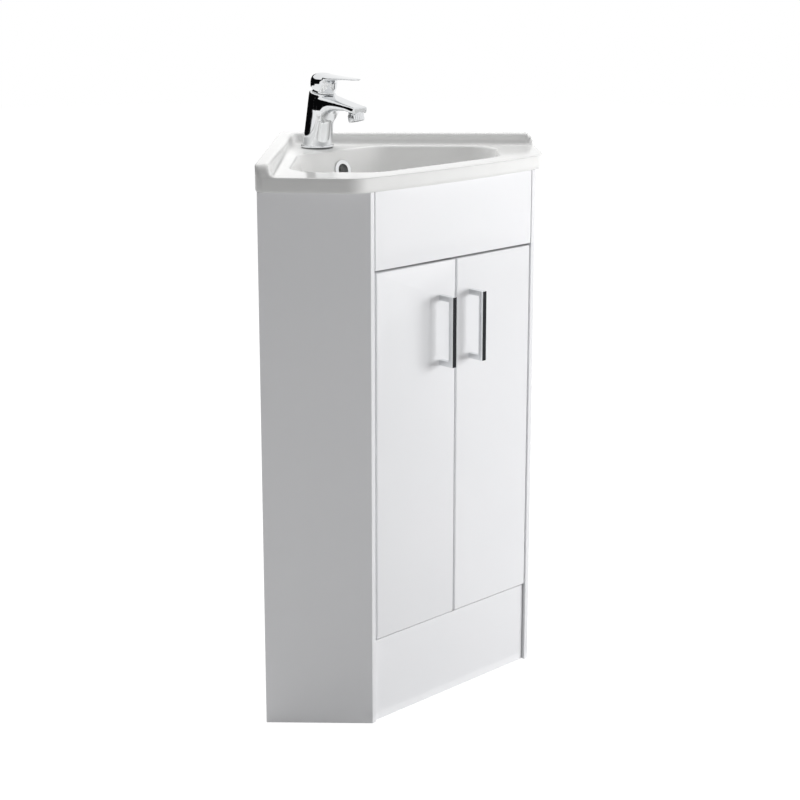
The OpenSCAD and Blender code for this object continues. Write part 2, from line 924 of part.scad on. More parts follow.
module waste_body() {
    color(chrome) at_waste(bowl_floor) difference() {
        union() {
            translate([0, 0, flange_seal_t]) cylinder(h = 2.4, d = flange_d, $fn = 64);
            translate([0, 0, -tail_len]) cylinder(h = tail_len, d = tail_d, $fn = 64);
            translate([0, 0, tail_free - tail_len])
                cylinder(h = tail_len - tail_free + flange_seal_t + 1, d = shank_d, $fn = 64);
        }
        difference() {
            translate([0, 0, -tail_len - 1]) cylinder(h = tail_len + 10, d = tail_bore, $fn = 64);
            translate([-tail_bore, -2, -guide_drop - 6]) cube([2 * tail_bore, 4, 6]);
            translate([-2, -tail_bore, -guide_drop - 6]) cube([4, 2 * tail_bore, 6]);
            translate([0, 0, -guide_drop - 6]) cylinder(h = 6, d = guide_d + 6, $fn = 32);
        }
        translate([0, 0, -guide_drop - 7]) cylinder(h = 8, d = guide_d + 0.12, $fn = 32);
        translate([0, 0, 2.4]) cylinder(h = 4, d1 = tail_bore, d2 = tail_bore + 14, $fn = 64);
        for (a = [90, 270]) rotate([0, 0, a]) translate([tail_bore / 2 - 3, -slot_w / 2, -14])
            cube([8, slot_w, 10]);
    }
}

nut_h = 9;
nut_z = bowl_under;
lower_seal_t = 4;

module waste_seals() {
    color("#2a2a2c") {
        at_waste(bowl_floor + skin) difference() {
            cylinder(h = flange_seal_t - skin, d = flange_d - 3, $fn = 64);
            translate([0, 0, -1]) cylinder(h = 5, d = shank_d + 2 * slip, $fn = 64);
        }
        at_waste(nut_z - lower_seal_t) difference() {
            cylinder(h = lower_seal_t, d = flange_d - 4, $fn = 64);
            translate([0, 0, -1]) cylinder(h = 9, d = shank_d + 2 * slip, $fn = 64);
        }
    }
}

module waste_nut() {
    color("#dcdcda") at_waste(nut_z - lower_seal_t - nut_h) difference() {
        union() {
            cylinder(h = nut_h, d = 54, $fn = 64);
            for (a = [0:45:315]) rotate([0, 0, a]) translate([25, -3, 0]) cube([5, 6, nut_h]);
        }
        translate([0, 0, -1]) cylinder(h = nut_h + 2, d = shank_d + 2 * slip, $fn = 64);
    }
}

plug_seat_z = bowl_floor + flange_seal_t + 2.4;

plug_rise = 5;
plug_dome_r = 120;
boss_d = 22;
groove_d = 17;
groove_z = -5.6;
groove_h = 3;
stem_below = guide_drop + 18;

// Domed plug on its guide stem, shown closed
module waste_plug() {
    color(chrome) at_waste(plug_seat_z + seat) difference() {
        union() {
            intersection() {
                cylinder(h = plug_rise + 1, d = plug_d, $fn = 64);
                translate([0, 0, plug_rise - plug_dome_r]) sphere(r = plug_dome_r, $fn = 96);
            }
            translate([0, 0, -8]) cylinder(h = 9, d = boss_d, $fn = 48);
            translate([0, 0, -stem_below]) cylinder(h = stem_below, d = guide_d, $fn = 32);
        }
        translate([0, 0, groove_z]) difference() {
            cylinder(h = groove_h, d = boss_d + 8, $fn = 48);
            translate([0, 0, -1]) cylinder(h = groove_h + 2, d = groove_d, $fn = 48);
        }
    }
}

module plug_seal() {
    color("#2a2a2c") at_waste(plug_seat_z + seat + groove_z + slip) difference() {
        cylinder(h = groove_h - 2 * slip, d = boss_d + 6, $fn = 48);
        translate([0, 0, -1]) cylinder(h = groove_h + 2, d = groove_d + 2 * slip, $fn = 48);
    }
}

// ---- tap ----

// Frame of the leaning body: z up along its axis, -y towards the spout
module tap_frame() {
    translate([0, corner_y - tap_from_corner, deck_z]) rotate([tap_lean, 0, 0]) children();
}

module tap_upright(z = 0) {
    translate([0, corner_y - tap_from_corner, deck_z + z]) children();
}

gasket_t = 1;
cartridge_r = 17.3;
cartridge_low = 52;
collar_r = 16;
collar_top = tap_body_h + 6.5;
pivot_z = tap_body_h + 9.5;
dome_low = tap_body_h + 7.5;
dome_h = 22;
dome_r = 21;
skirt_drop = 6;
skirt_slant = atan2(skirt_drop, 2 * dome_r);
carrier_r = 11;
stem_w = 8;
pin_d = 3;
spout_tip_rise = -2;
stud_y = -9;
inlet_x = 7.5;
inlet_y = 8;
inlet_d = 8.9;
stud_d = 8;
aerator_lean = 24;
aerator_back = 11;
aerator_top = -3;
aerator_ring = 4;
aerator_end = 15.5;

// Frame of the aerator: z points out of the spout, down and a little forward
module aerator_frame() {
    tap_frame() translate([0, -spout_reach + aerator_back, tap_body_h + spout_tip_rise - spout_h + 1.5])
        rotate([180 - aerator_lean, 0, 0]) children();
}

module tap_body() {
    color(chrome) difference() {
        union() {
            tap_upright(gasket_t) cylinder(h = 3, d = tap_base_d, $fn = 64);
            hull() {
                tap_upright(gasket_t + 2) cylinder(h = 2, d = tap_body_d + 4, $fn = 32);
                tap_frame() translate([0, 0, tap_body_h - 2]) cylinder(h = 2, d = tap_body_d, $fn = 32);
            }
            hull() {
                tap_frame() {
                    translate([0, 0, tap_body_h - 30]) cylinder(h = 29, d = tap_body_d - 4, $fn = 32);
                    translate([-spout_w / 2, -spout_reach, tap_body_h + spout_tip_rise - spout_h])
                        cube([spout_w, 22, spout_h]);
                }
            }
        }
        tap_frame() translate([0, 0, cartridge_low]) cylinder(h = 60, r = cartridge_r + slip, $fn = 64);
        tap_frame() translate([0, 0, tap_body_h]) cylinder(h = 30, r = tap_body_d / 2 + 1, $fn = 64);
        aerator_frame() {
            translate([0, 0, aerator_top - 1]) cylinder(h = 30, d = aerator_d - 3, $fn = 48);
            translate([0, 0, aerator_ring - seat]) cylinder(h = 30, d = aerator_d + 2 * seat, $fn = 48);
        }
        for (s = [-1, 1]) tap_upright() translate([s * inlet_x, inlet_y, -1])
            cylinder(h = 17, d = inlet_d, $fn = 32);
        tap_upright() translate([0, stud_y, -1]) cylinder(h = 17, d = stud_d + 2 * slip, $fn = 32);
    }
}

module tap_gasket() {
    color("#2a2a2c") tap_upright(0) difference() {
        cylinder(h = gasket_t, d = tap_base_d - 3, $fn = 64);
        translate([0, 0, -1]) cylinder(h = gasket_t + 2, d = tap_hole_d + 1, $fn = 64);
    }
}

module tap_cartridge() {
    color("#e7e6e1") tap_frame() difference() {
        union() {
            translate([0, 0, cartridge_low + seat])
                cylinder(h = tap_body_h - 4 - cartridge_low - seat, r = cartridge_r, $fn = 64);
            cylinder(h = tap_body_h + 4, r = 13.4, $fn = 48);
        }
        translate([0, 0, -1]) cylinder(h = cartridge_low + seat + 1, r = 30, $fn = 32);
        translate([0, 0, tap_body_h - 6]) cylinder(h = 30, r = carrier_r + 0.06, $fn = 64);
    }
}

module cartridge_nut() {
    color(chrome) tap_frame() difference() {
        union() {
            translate([0, 0, tap_body_h - 4]) cylinder(h = 4, r = cartridge_r, $fn = 64);
            cylinder(h = collar_top, r = collar_r, $fn = 64);
        }
        translate([0, 0, -1]) cylinder(h = tap_body_h - 3, r = 30, $fn = 32);
        cylinder(h = collar_top + 1, r = 13.6, $fn = 64);
    }
}

// Turning carrier of the cartridge, slotted for the lever's stem
module spindle_carrier() {
    low = tap_body_h - 6 + seat;
    color("#e7e6e1") tap_frame() difference() {
        translate([0, 0, low]) cylinder(h = pivot_z + 2.5 - low, r = carrier_r, $fn = 64);
        translate([-stem_w / 2 - 0.2, -7.5, tap_body_h - 3]) cube([stem_w + 0.4, 15, 30]);
        translate([-20, 0, pivot_z]) rotate([0, 90, 0]) cylinder(h = 40, d = pin_d + slip, $fn = 32);
    }
}

module lever_pin() {
    color(chrome) tap_frame() translate([-carrier_r + 1, 0, pivot_z]) rotate([0, 90, 0])
        cylinder(h = 2 * carrier_r - 2, d = pin_d, $fn = 32);
}

module lever_stem() {
    color("#b98f4a") tap_frame() difference() {
        translate([-stem_w / 2, -stem_w / 2, pivot_z - 6]) cube([stem_w, stem_w, 21]);
        translate([-20, 0, pivot_z]) rotate([0, 90, 0]) cylinder(h = 40, d = pin_d + 0.12, $fn = 32);
    }
}

dome_step = 10;
dome_square = 0.8;
lever_tip_z = 29;
lever_screw_z = pivot_z + 10;

// Half outline of the lever's domed head
function dome_profile() = concat(
    [[0, 0]],
    [for (a = [0:dome_step:90])
        [dome_r * pow(cos(a), dome_square), dome_h * pow(sin(a), dome_square)]]);

// Skirt of the hood, cut on a slant so that it hangs lowest in front
module lever_skirt() {
    difference() {
        translate([0, 0, dome_low - skirt_drop]) cylinder(h = skirt_drop + skin, r = dome_r, $fn = 64);
        translate([-2 * dome_r, dome_r, dome_low]) rotate([skirt_slant, 0, 0])
            translate([0, -4 * dome_r, -dome_r]) cube([4 * dome_r, 4 * dome_r + 1, dome_r]);
    }
}

module lever_handle() {
    color(chrome) tap_frame() difference() {
        union() {
            translate([0, 0, dome_low]) rotate_extrude($fn = 64) polygon(dome_profile());
            lever_skirt();
            hull() {
                translate([0, 4, dome_low + dome_h - 8]) scale([1, 1, 0.35]) sphere(r = 15, $fn = 24);
                translate([0, -24, dome_low + dome_h - 3]) scale([1, 1, 0.3]) sphere(r = 15, $fn = 24);
                translate([0, -lever_len + 10, dome_low + lever_tip_z]) scale([1, 1, 0.22])
                    sphere(r = 10, $fn = 24);
                translate([0, -13, dome_low + 12]) sphere(r = 6, $fn = 24);
            }
        }
        translate([0, 0, dome_low - skirt_drop - 1])
            cylinder(h = 9.5 + skirt_drop + 1, r = dome_r - 2.4, $fn = 64);
        translate([-stem_w / 2 - slip, -stem_w / 2 - slip, dome_low])
            cube([stem_w + 2 * slip, stem_w + 2 * slip, 19]);
        translate([0, -stem_w / 2 + 1, lever_screw_z]) rotate([90, 0, 0])
            cylinder(h = 40, d = 5 + 2 * slip, $fn = 24);
    }
}

module lever_screw() {
    color("#6c6d6f") tap_frame() translate([0, -stem_w / 2 - slip, lever_screw_z]) rotate([90, 0, 0])
        difference() {
            cylinder(h = 8, d = 5, $fn = 24);
            translate([0, 0, 5]) cylinder(h = 4, d = 2.9, $fn = 6);
        }
}

module index_button() {
    color("#b8babc") tap_frame() translate([0, -17, lever_screw_z]) rotate([90, 0, 0])
        cylinder(h = 3.2, d = 4.9, $fn = 32);
}

module aerator_housing() {
    color(chrome) aerator_frame() difference() {
        union() {
            translate([0, 0, aerator_top])
                cylinder(h = aerator_ring - aerator_top + 1, d = aerator_d - 3 - 2 * slip, $fn = 48);
            translate([0, 0, aerator_ring])
                cylinder(h = aerator_end - aerator_ring, d = aerator_d - 1, $fn = 64);
            for (a = [0:15:345]) rotate([0, 0, a])
                translate([aerator_d / 2 - 1, -0.8, aerator_ring + 1])
                    cube([1, 1.6, aerator_end - aerator_ring - 2]);
        }
        translate([0, 0, -7]) cylinder(h = 30, d = aerator_d - 6, $fn = 48);
    }
}

module aerator_insert() {
    face = aerator_end - 1.5;
    color("#d9d9d6") aerator_frame() difference() {
        translate([0, 0, aerator_top])
            cylinder(h = face - aerator_top, d = aerator_d - 6 - 2 * slip, $fn = 48);
        for (ring = [0:2]) for (a = [0:max(1, 8 * ring) - 1])
            rotate([0, 0, a * 360 / max(1, 8 * ring)]) translate([ring * 3.2, 0, face - 2.5])
                cylinder(h = 4, d = 1.4, $fn = 13);
    }
}

stud_low = -46;
horseshoe_t = 3;
stud_nut_h = 8;

module tap_stud() {
    color("#c9b06a") tap_upright() translate([0, stud_y, stud_low])
        cylinder(h = 14 - stud_low, d = stud_d, $fn = 32);
}

// Horseshoe plate under the deck: it leaves the rear half of the hole free for the tails
module stud_plate() {
    color("#c9b06a") tap_upright(-deck_t - horseshoe_t) difference() {
        cylinder(h = horseshoe_t, r = 23, $fn = 64);
        translate([-30, -1, -1]) cube([60, 40, 6]);
        translate([0, stud_y, -1]) cylinder(h = 6, d = stud_d + 2 * slip, $fn = 32);
    }
}

module stud_nut() {
    color("#c9b06a") tap_upright(-deck_t - horseshoe_t - stud_nut_h) translate([0, stud_y, 0]) difference() {
        cylinder(h = stud_nut_h, d = 14.5, $fn = 6);
        translate([0, 0, -1]) cylinder(h = 10, d = stud_d + 2 * slip, $fn = 32);
    }
}

left_side_panel();
right_side_panel();
left_back_panel();
right_back_panel();
base_panel();
rear_stretcher();
plinth();
fascia();
plinth_battens();
fascia_battens();
batten_screws();
cam_locks();
cam_bolts();
shelf();
shelf_pegs();
left_door();
right_door();
left_handle();
right_handle();
left_handle_screws();
right_handle_screws();
left_hinge_cups();
right_hinge_cups();
left_cup_screws();
right_cup_screws();
hinge_arms();
hinge_plates();
plate_screws();
door_buffers();
basin();
overflow_ring();
waste_body();
waste_seals();
waste_nut();
waste_plug();
plug_seal();
tap_body();
tap_gasket();
tap_cartridge();
cartridge_nut();
spindle_carrier();
lever_pin();
lever_stem();
lever_handle();
lever_screw();
index_button();
aerator_housing();
aerator_insert();
tap_stud();
stud_plate();
stud_nut();
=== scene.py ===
from math import acos, atan2, cos, pi, radians, sin, sqrt, tan

import bmesh
import bpy
import numpy as np
from mathutils import Matrix, Vector


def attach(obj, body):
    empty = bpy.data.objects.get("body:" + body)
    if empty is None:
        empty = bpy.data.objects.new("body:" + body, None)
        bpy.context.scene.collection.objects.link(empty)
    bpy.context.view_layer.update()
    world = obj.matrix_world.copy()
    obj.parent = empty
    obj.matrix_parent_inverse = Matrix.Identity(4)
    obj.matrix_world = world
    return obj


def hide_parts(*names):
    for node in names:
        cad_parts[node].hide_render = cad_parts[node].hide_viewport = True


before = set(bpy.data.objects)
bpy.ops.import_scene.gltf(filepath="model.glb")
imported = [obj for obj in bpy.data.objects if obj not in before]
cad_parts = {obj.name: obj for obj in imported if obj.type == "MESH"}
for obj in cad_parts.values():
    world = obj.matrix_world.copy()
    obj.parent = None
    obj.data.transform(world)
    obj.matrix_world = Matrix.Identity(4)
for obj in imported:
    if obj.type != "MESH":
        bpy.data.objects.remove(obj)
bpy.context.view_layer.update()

# ---- Camera ----
# It stands to the left of the unit at the height of a person's chest and looks a little down on
# the basin. A small shift lifts the unit in the frame.
lens = bpy.data.cameras.new("viewpoint")
lens.lens = 77.18616
lens.sensor_width = 36
lens.shift_y = -0.1
viewpoint = bpy.data.objects.new("viewpoint", lens)
viewpoint.location = (-1.745950, -1.884278, 1.136106)
viewpoint.rotation_euler = (radians(90 - 12.837166), 0, -radians(43.780093))
bpy.context.scene.collection.objects.link(viewpoint)
bpy.context.scene.camera = viewpoint

# ---- Side panels, back panels, base, stretcher and shelf ----
# 15 and 18 mm chipboard wrapped in white high-gloss foil, cut square and edged on every side,
# so each edge is a hair soft. Cams and bolts draw them together from the inside.
mm = 0.001
edge_soft = 0.5


def srgb(code):
    """A hex colour as linear values, with full cover."""
    parts = [int(code[i:i + 2], 16) / 255 for i in (1, 3, 5)]
    return [v / 12.92 if v <= 0.04045 else ((v + 0.055) / 1.055) ** 2.4 for v in parts] + [1.0]


def add(tree, kind, inputs=(), **settings):
    """Add a node to a tree, with its settings and with what goes into its sockets: a plain value,
    a socket, or a node that gives its first output."""
    made = tree.nodes.new(kind)
    for name, value in settings.items():
        setattr(made, name, value)
    for socket, value in dict(inputs).items():
        if isinstance(value, bpy.types.Node):
            value = value.outputs[0]
        if isinstance(value, bpy.types.NodeSocket):
            tree.links.new(value, made.inputs[socket])
        else:
            made.inputs[socket].default_value = value
    return made


def emptied(owner):
    """The node tree of a material or of the world, with nothing in it."""
    owner.use_nodes = True
    owner.node_tree.nodes.clear()
    return owner.node_tree


def blank_finish(name):
    """A new material, its empty tree, and the object coordinates in it."""
    made = bpy.data.materials.new(name)
    tree = emptied(made)
    return made, tree, add(tree, "ShaderNodeTexCoord").outputs["Object"]


def merged(node):
    """A node's CAD mesh, with its loose triangles joined into whole faces."""
    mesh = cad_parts[node].data.copy()
    form = bmesh.new()
    form.from_mesh(mesh)
    bmesh.ops.remove_doubles(form, verts=form.verts, dist=3e-6)
    bmesh.ops.dissolve_limit(form, angle_limit=radians(0.8), verts=form.verts, edges=form.edges)
    form.to_mesh(mesh)
    form.free()
    return mesh


def worked(mesh, *steps):
    """The mesh after a row of modifiers, each given as its kind and its settings."""
    blank = bpy.data.objects.new("blank", mesh)
    bpy.context.scene.collection.objects.link(blank)
    for kind, settings in steps:
        tool = blank.modifiers.new(kind.lower(), kind)
        for name, value in settings.items():
            setattr(tool, name, value)
    seen = blank.evaluated_get(bpy.context.evaluated_depsgraph_get())
    made = bpy.data.meshes.new_from_object(seen)
    bpy.data.objects.remove(blank)
    return made


def edged(mesh, width, steps=2):
    """The mesh with every sharp edge rounded over, and its flat faces kept flat to the eye."""
    mesh.shade_smooth()
    return worked(
        mesh,
        ("BEVEL", dict(width=width * mm, segments=steps, limit_method="ANGLE",
                       angle_limit=radians(38), use_clamp_overlap=False)),
        ("WEIGHTED_NORMAL", dict(keep_sharp=True)))


def fit(name, mesh, finish, body, slot, *nodes):
    """A finished piece: painted, riding on its body, and shown in place of its CAD nodes."""
    mesh.materials.clear()
    mesh.materials.append(finish)
    piece = bpy.data.objects.new(name, mesh)
    bpy.context.scene.collection.objects.link(piece)
    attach(piece, body)
    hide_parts(*nodes)


def eased(node, ending, width, finish, body, slot, steps=2):
    """A finished piece that keeps its CAD shape and has its edges rounded by the width."""
    fit(f"{node}_{ending}", edged(merged(node), width, steps), finish, body, slot, node)


# PVC foil with a high-gloss lacquer, pressed over the board: a hard white sheen with the faint
# orange peel of the board under it, about 3 mm from crest to crest, and a very slow drift of tone.
foil, tree, place = blank_finish("high_gloss_foil_on_board")
drift = add(tree, "ShaderNodeTexNoise", {"Vector": place, "Scale": 1 / (140 * mm), "Detail": 2.0})
tone = add(tree, "ShaderNodeMix", {0: drift, 6: srgb("#F3F4F6"), 7: srgb("#F7F7F9")},
           data_type="RGBA")
peel = add(tree, "ShaderNodeTexNoise", {"Vector": place, "Scale": 1 / (3 * mm), "Detail": 1.0})
dull = add(tree, "ShaderNodeMapRange", {0: drift, 3: 0.16, 4: 0.24})
relief = add(tree, "ShaderNodeBump", {"Height": peel, "Strength": 0.05, "Distance": 0.2 * mm})
shade = add(tree, "ShaderNodeBsdfPrincipled", {
    "Base Color": tone.outputs[2], "Roughness": dull, "IOR": 1.5,
    "Coat Weight": 0.4, "Coat Roughness": 0.05, "Normal": relief})
add(tree, "ShaderNodeOutputMaterial", {0: shade})

for board in ("left_side_panel", "right_side_panel", "left_back_panel", "right_back_panel",
              "base_panel", "rear_stretcher", "shelf"):
    eased(board, "board", edge_soft, foil, "cabinet", "board")

# ---- Fascia and plinth ----
# One board above the doors hides the bowl, and one below them stands a little back as a kick
# board. Both are foil-wrapped board, screwed from behind to battens.
for board in ("fascia", "plinth"):
    eased(board, "board", 0.8, foil, "cabinet", "board", steps=3)

# ---- Battens and their screws ----
# Short lengths of planed softwood in the corners behind the fascia and plinth, left bare, each
# held by two zinc-plated countersunk screws.
# Plan depths run forward from the room corner, which lies at y = corner_y
corner_y, panel_back, plinth_set_back = 208.81832585697947, 370.909, 4.5
wall_side, side_thick = 394, 18
inner_side = wall_side - side_thick
inner_sum = inner_side * sqrt(2)
batten_leg, batten_from_end = 31, 10
batten_screw_len, batten_screw_bite = 26, 12

# Planed pine, bare: pale yellow with brown late-wood lines about 6 mm apart that run along the
# batten, and a dull, slightly furry face.
pine, tree, place = blank_finish("planed_pine_bare")
grain = add(tree, "ShaderNodeMapping", {"Vector": place, "Scale": (1.0, 1.0, 0.06)})
growth = add(tree, "ShaderNodeTexWave", {
    "Vector": grain, "Scale": 1 / (18 * mm), "Distortion": 3.5, "Detail": 2.0},
    wave_type="RINGS", rings_direction="Z")
fibre = add(tree, "ShaderNodeTexNoise", {"Vector": grain, "Scale": 1 / (0.8 * mm), "Detail": 3.0})
late = add(tree, "ShaderNodeMix", {0: growth.outputs[1], 6: srgb("#DCC79B"), 7: srgb("#B98F57")},
           data_type="RGBA")
fleck = add(tree, "ShaderNodeMix", {0: fibre, 6: late.outputs[2], 7: srgb("#E6D5AE")},
            data_type="RGBA")
relief = add(tree, "ShaderNodeBump", {"Height": fibre, "Strength": 0.35, "Distance": 0.3 * mm})
shade = add(tree, "ShaderNodeBsdfPrincipled", {
    "Base Color": fleck.outputs[2], "Roughness": 0.72, "Normal": relief})
add(tree, "ShaderNodeOutputMaterial", {0: shade})

for batten in ("plinth_battens", "fascia_battens"):
    eased(batten, "pine", 0.6, pine, "cabinet", "softwood")

# Zinc-plated steel, passivated clear: a cool grey metal with the soft mottle of the plating
# bath, dull enough to blur what it mirrors.
plated, tree, place = blank_finish("zinc_plated_steel")
mottle = add(tree, "ShaderNodeTexNoise", {"Vector": place, "Scale": 1 / (4 * mm), "Detail": 4.0})
tone = add(tree, "ShaderNodeMix", {0: mottle, 6: srgb("#AEB3B9"), 7: srgb("#CDD1D5")},
           data_type="RGBA")
dull = add(tree, "ShaderNodeMapRange", {0: mottle, 3: 0.22, 4: 0.42})
relief = add(tree, "ShaderNodeBump", {"Height": mottle, "Strength": 0.12, "Distance": 0.1 * mm})
shade = add(tree, "ShaderNodeBsdfPrincipled", {
    "Base Color": tone.outputs[2], "Metallic": 1.0, "Roughness": dull, "Normal": relief})
add(tree, "ShaderNodeOutputMaterial", {0: shade})


def loft(rings, loop=False):
    """A closed skin through rings of points, capped at both ends or joined into a loop."""
    form = bmesh.new()
    rows = [[form.verts.new(p) for p in ring] for ring in rings]
    count = len(rows[0])
    for low, high in zip(rows, rows[1:] + (rows[:1] if loop else [])):
        for k in range(count):
            form.faces.new((low[k], low[(k + 1) % count], high[(k + 1) % count], high[k]))
    if not loop:
        form.faces.new(rows[0][::-1])
        form.faces.new(rows[-1])
    bmesh.ops.remove_doubles(form, verts=form.verts, dist=1e-7)
    bmesh.ops.recalc_face_normals(form, faces=form.faces)
    mesh = bpy.data.meshes.new("skin")
    form.to_mesh(mesh)
    form.free()
    return mesh


def turned(profile, count=32, loop=False):
    """A piece turned about its z axis from (radius, height) pairs in millimetres."""
    return loft([[Vector((r * cos(2 * pi * k / count), r * sin(2 * pi * k / count), z)) * mm
                  for k in range(count)] for r, z in profile], loop)


def cut(mesh, *cutters, how="DIFFERENCE"):
    """The mesh with the cutters taken from it, or added to it, one after another."""
    for cutter in cutters:
        tool = bpy.data.objects.new("tool", cutter)
        bpy.context.scene.collection.objects.link(tool)
        mesh = worked(mesh, ("BOOLEAN", dict(operation=how, solver="MANIFOLD", object=tool)))
        bpy.data.objects.remove(tool)
    return mesh


def block(low, high):
    """A plain cutting block between two corners, in millimetres."""
    return loft([[Vector((x, y, z)) * mm for x, y in
                  ((low[0], low[1]), (high[0], low[1]), (high[0], high[1]), (low[0], high[1]))]
                 for z in (low[2], high[2])])


def creased(mesh, angle=35):
    """Smooth shading that stays crisp over edges sharper than the angle."""
    mesh.shade_smooth()
    mesh.set_sharp_from_angle(angle=radians(angle))
    return mesh


def cross_head(radius, head, shank_r, length):
    """A cross-head screw: its head's face lies at z = 0 and its shank runs up z."""
    body = turned([(0, 0), (0.55 * radius, 0), (0.9 * radius, 0), (radius, 0.35), (shank_r, head),
                   (shank_r, length - 2), (0.4, length), (0, length)], 28)
    arm, half, deep = 0.55 * radius, 0.13 * radius, 0.62 * head
    return creased(cut(body, block((-arm, -half, -1), (arm, half, deep)),
                       block((-half, -arm, -1), (half, arm, deep))))


def node_group(name, *sockets):
    """A new geometry node group with named inputs and one output, and the inputs in it."""
    group = bpy.data.node_groups.new(name, "GeometryNodeTree")
    for label, kind in sockets:
        group.interface.new_socket(label, in_out="INPUT", socket_type="NodeSocket" + kind)
    group.interface.new_socket("Made", in_out="OUTPUT", socket_type="NodeSocketGeometry")
    return group, add(group, "NodeGroupInput").outputs


def coated(group, parts, finish):
    """Close a node group: its copies made real, painted and led to the output."""
    real = add(group, "GeometryNodeRealizeInstances", {0: parts})
    paint = add(group, "GeometryNodeSetMaterial", {"Geometry": real, "Material": finish})
    add(group, "NodeGroupOutput", {0: paint})


def grown(mesh, group, inputs):
    """The plain mesh that a node group makes from a mesh, its inputs set by their names."""
    holder = bpy.data.objects.new("holder", mesh)
    bpy.context.scene.collection.objects.link(holder)
    work = holder.modifiers.new("grown", "NODES")
    work.node_group = group
    keys = {s.name: s.identifier for s in group.interface.items_tree if s.in_out == "INPUT"}
    for name, value in inputs.items():
        work[keys[name]] = value
    seen = holder.evaluated_get(bpy.context.evaluated_depsgraph_get())
    made = bpy.data.meshes.new_from_object(seen)
    bpy.data.objects.remove(holder)
    return made


# Geometry nodes put a copy of one small piece on every marked point, its z along that point's aim.
copies, given = node_group("copies_on_points", ("Spots", "Geometry"), ("Piece", "Object"),
                           ("Turn about its axis", "Float"), ("Finish", "Material"))
piece_in = add(copies, "GeometryNodeObjectInfo", {"Object": given["Piece"]})
aim = add(copies, "GeometryNodeInputNamedAttribute", {"Name": "aim"}, data_type="FLOAT_VECTOR")
facing = add(copies, "FunctionNodeAlignRotationToVector", {"Vector": aim}, axis="Z")
angles = add(copies, "ShaderNodeCombineXYZ", {2: given["Turn about its axis"]})
twist = add(copies, "FunctionNodeEulerToRotation", {0: angles})
turn = add(copies, "FunctionNodeRotateRotation", {0: facing, 1: twist},
           rotation_space="LOCAL")
spread = add(copies, "GeometryNodeInstanceOnPoints", {
    "Points": given["Spots"], "Instance": piece_in.outputs["Geometry"],
    "Rotation": turn})
coated(copies, spread, given["Finish"])


def set_out(spots, shape, finish, turn_by=0.0):
    """A plain mesh of the shape repeated on spots, each a place in millimetres and an aim."""
    points = bpy.data.meshes.new("spots")
    points.from_pydata([Vector(p) * mm for p, _ in spots], [], [])
    points.attributes.new("aim", "FLOAT_VECTOR", "POINT").data.foreach_set(
        "vector", [v for _, a in spots for v in a])
    sample = bpy.data.objects.new("sample", shape)
    bpy.context.scene.collection.objects.link(sample)
    made = grown(points, copies, {
        "Piece": sample, "Turn about its axis": radians(turn_by), "Finish": finish})
    bpy.data.objects.remove(sample)
    return made


def in_room(x, t, z):
    """A point from its plan place: x from the middle line, t out from the room corner."""
    return (x, corner_y - t, z)


batten_spots = [
    (in_room(side * (inner_sum - back - batten_leg + batten_from_end),
             back - batten_screw_len + batten_screw_bite, z), (0, -1, 0))
    for side in (-1, 1)
    for back, heights in ((panel_back - plinth_set_back, (32, 95.5)), (panel_back, (706.5, 747)))
    for z in heights]
batten_screw = cross_head(4, 2.3, 2, batten_screw_len)
fit("batten_screws_plated", set_out(batten_spots, batten_screw, plated, 30), plated, "cabinet",
    "plated_steel", "batten_screws")

# ---- Cam locks and bolts ----
# Zinc die-cast cams sit flush in round seats in the back panels and pull on steel bolts let
# into the side panels. Only the faces of the cams show, from inside the cupboard.
cam_heights = (60, 450, 725)
back_thick, bolt_reach = 15, 34

# Die-cast zinc, tumbled and left bare: a darker grey than plating, with a grainy cast skin.
cast_zinc, tree, place = blank_finish("die_cast_zinc")
skin = add(tree, "ShaderNodeTexNoise", {"Vector": place, "Scale": 1 / (0.9 * mm), "Detail": 5.0})
tone = add(tree, "ShaderNodeMix", {0: skin, 6: srgb("#8E9297"), 7: srgb("#B4B8BC")},
           data_type="RGBA")
relief = add(tree, "ShaderNodeBump", {"Height": skin, "Strength": 0.3, "Distance": 0.15 * mm})
shade = add(tree, "ShaderNodeBsdfPrincipled", {
    "Base Color": tone.outputs[2], "Metallic": 1.0, "Roughness": 0.5, "Normal": relief})
add(tree, "ShaderNodeOutputMaterial", {0: shade})


def on_wall(side, along, off, z):
    """A point by its place along one wall and its distance into the room."""
    return in_room(side * (along - off) / sqrt(2), (along + off) / sqrt(2), z)


cam = cut(turned([(0, 0), (7.0, 0), (7.5, 0.5), (7.5, 11.6), (7.1, 12), (0, 12)], 40),
          block((-4, -0.8, -1), (4, 0.8, 2)), block((-0.8, -4, -1), (0.8, 4, 2)))
cam_spots = [
    (on_wall(side, inner_side - bolt_reach, back_thick, z), (side / sqrt(2), 1 / sqrt(2), 0))
    for side in (-1, 1) for z in cam_heights]
fit("cam_locks_cast", set_out(cam_spots, creased(cam), cast_zinc, 25), cast_zinc, "cabinet",
    "zinc", "cam_locks")
eased("cam_bolts", "plated", 0.4, plated, "cabinet", "plated_steel")

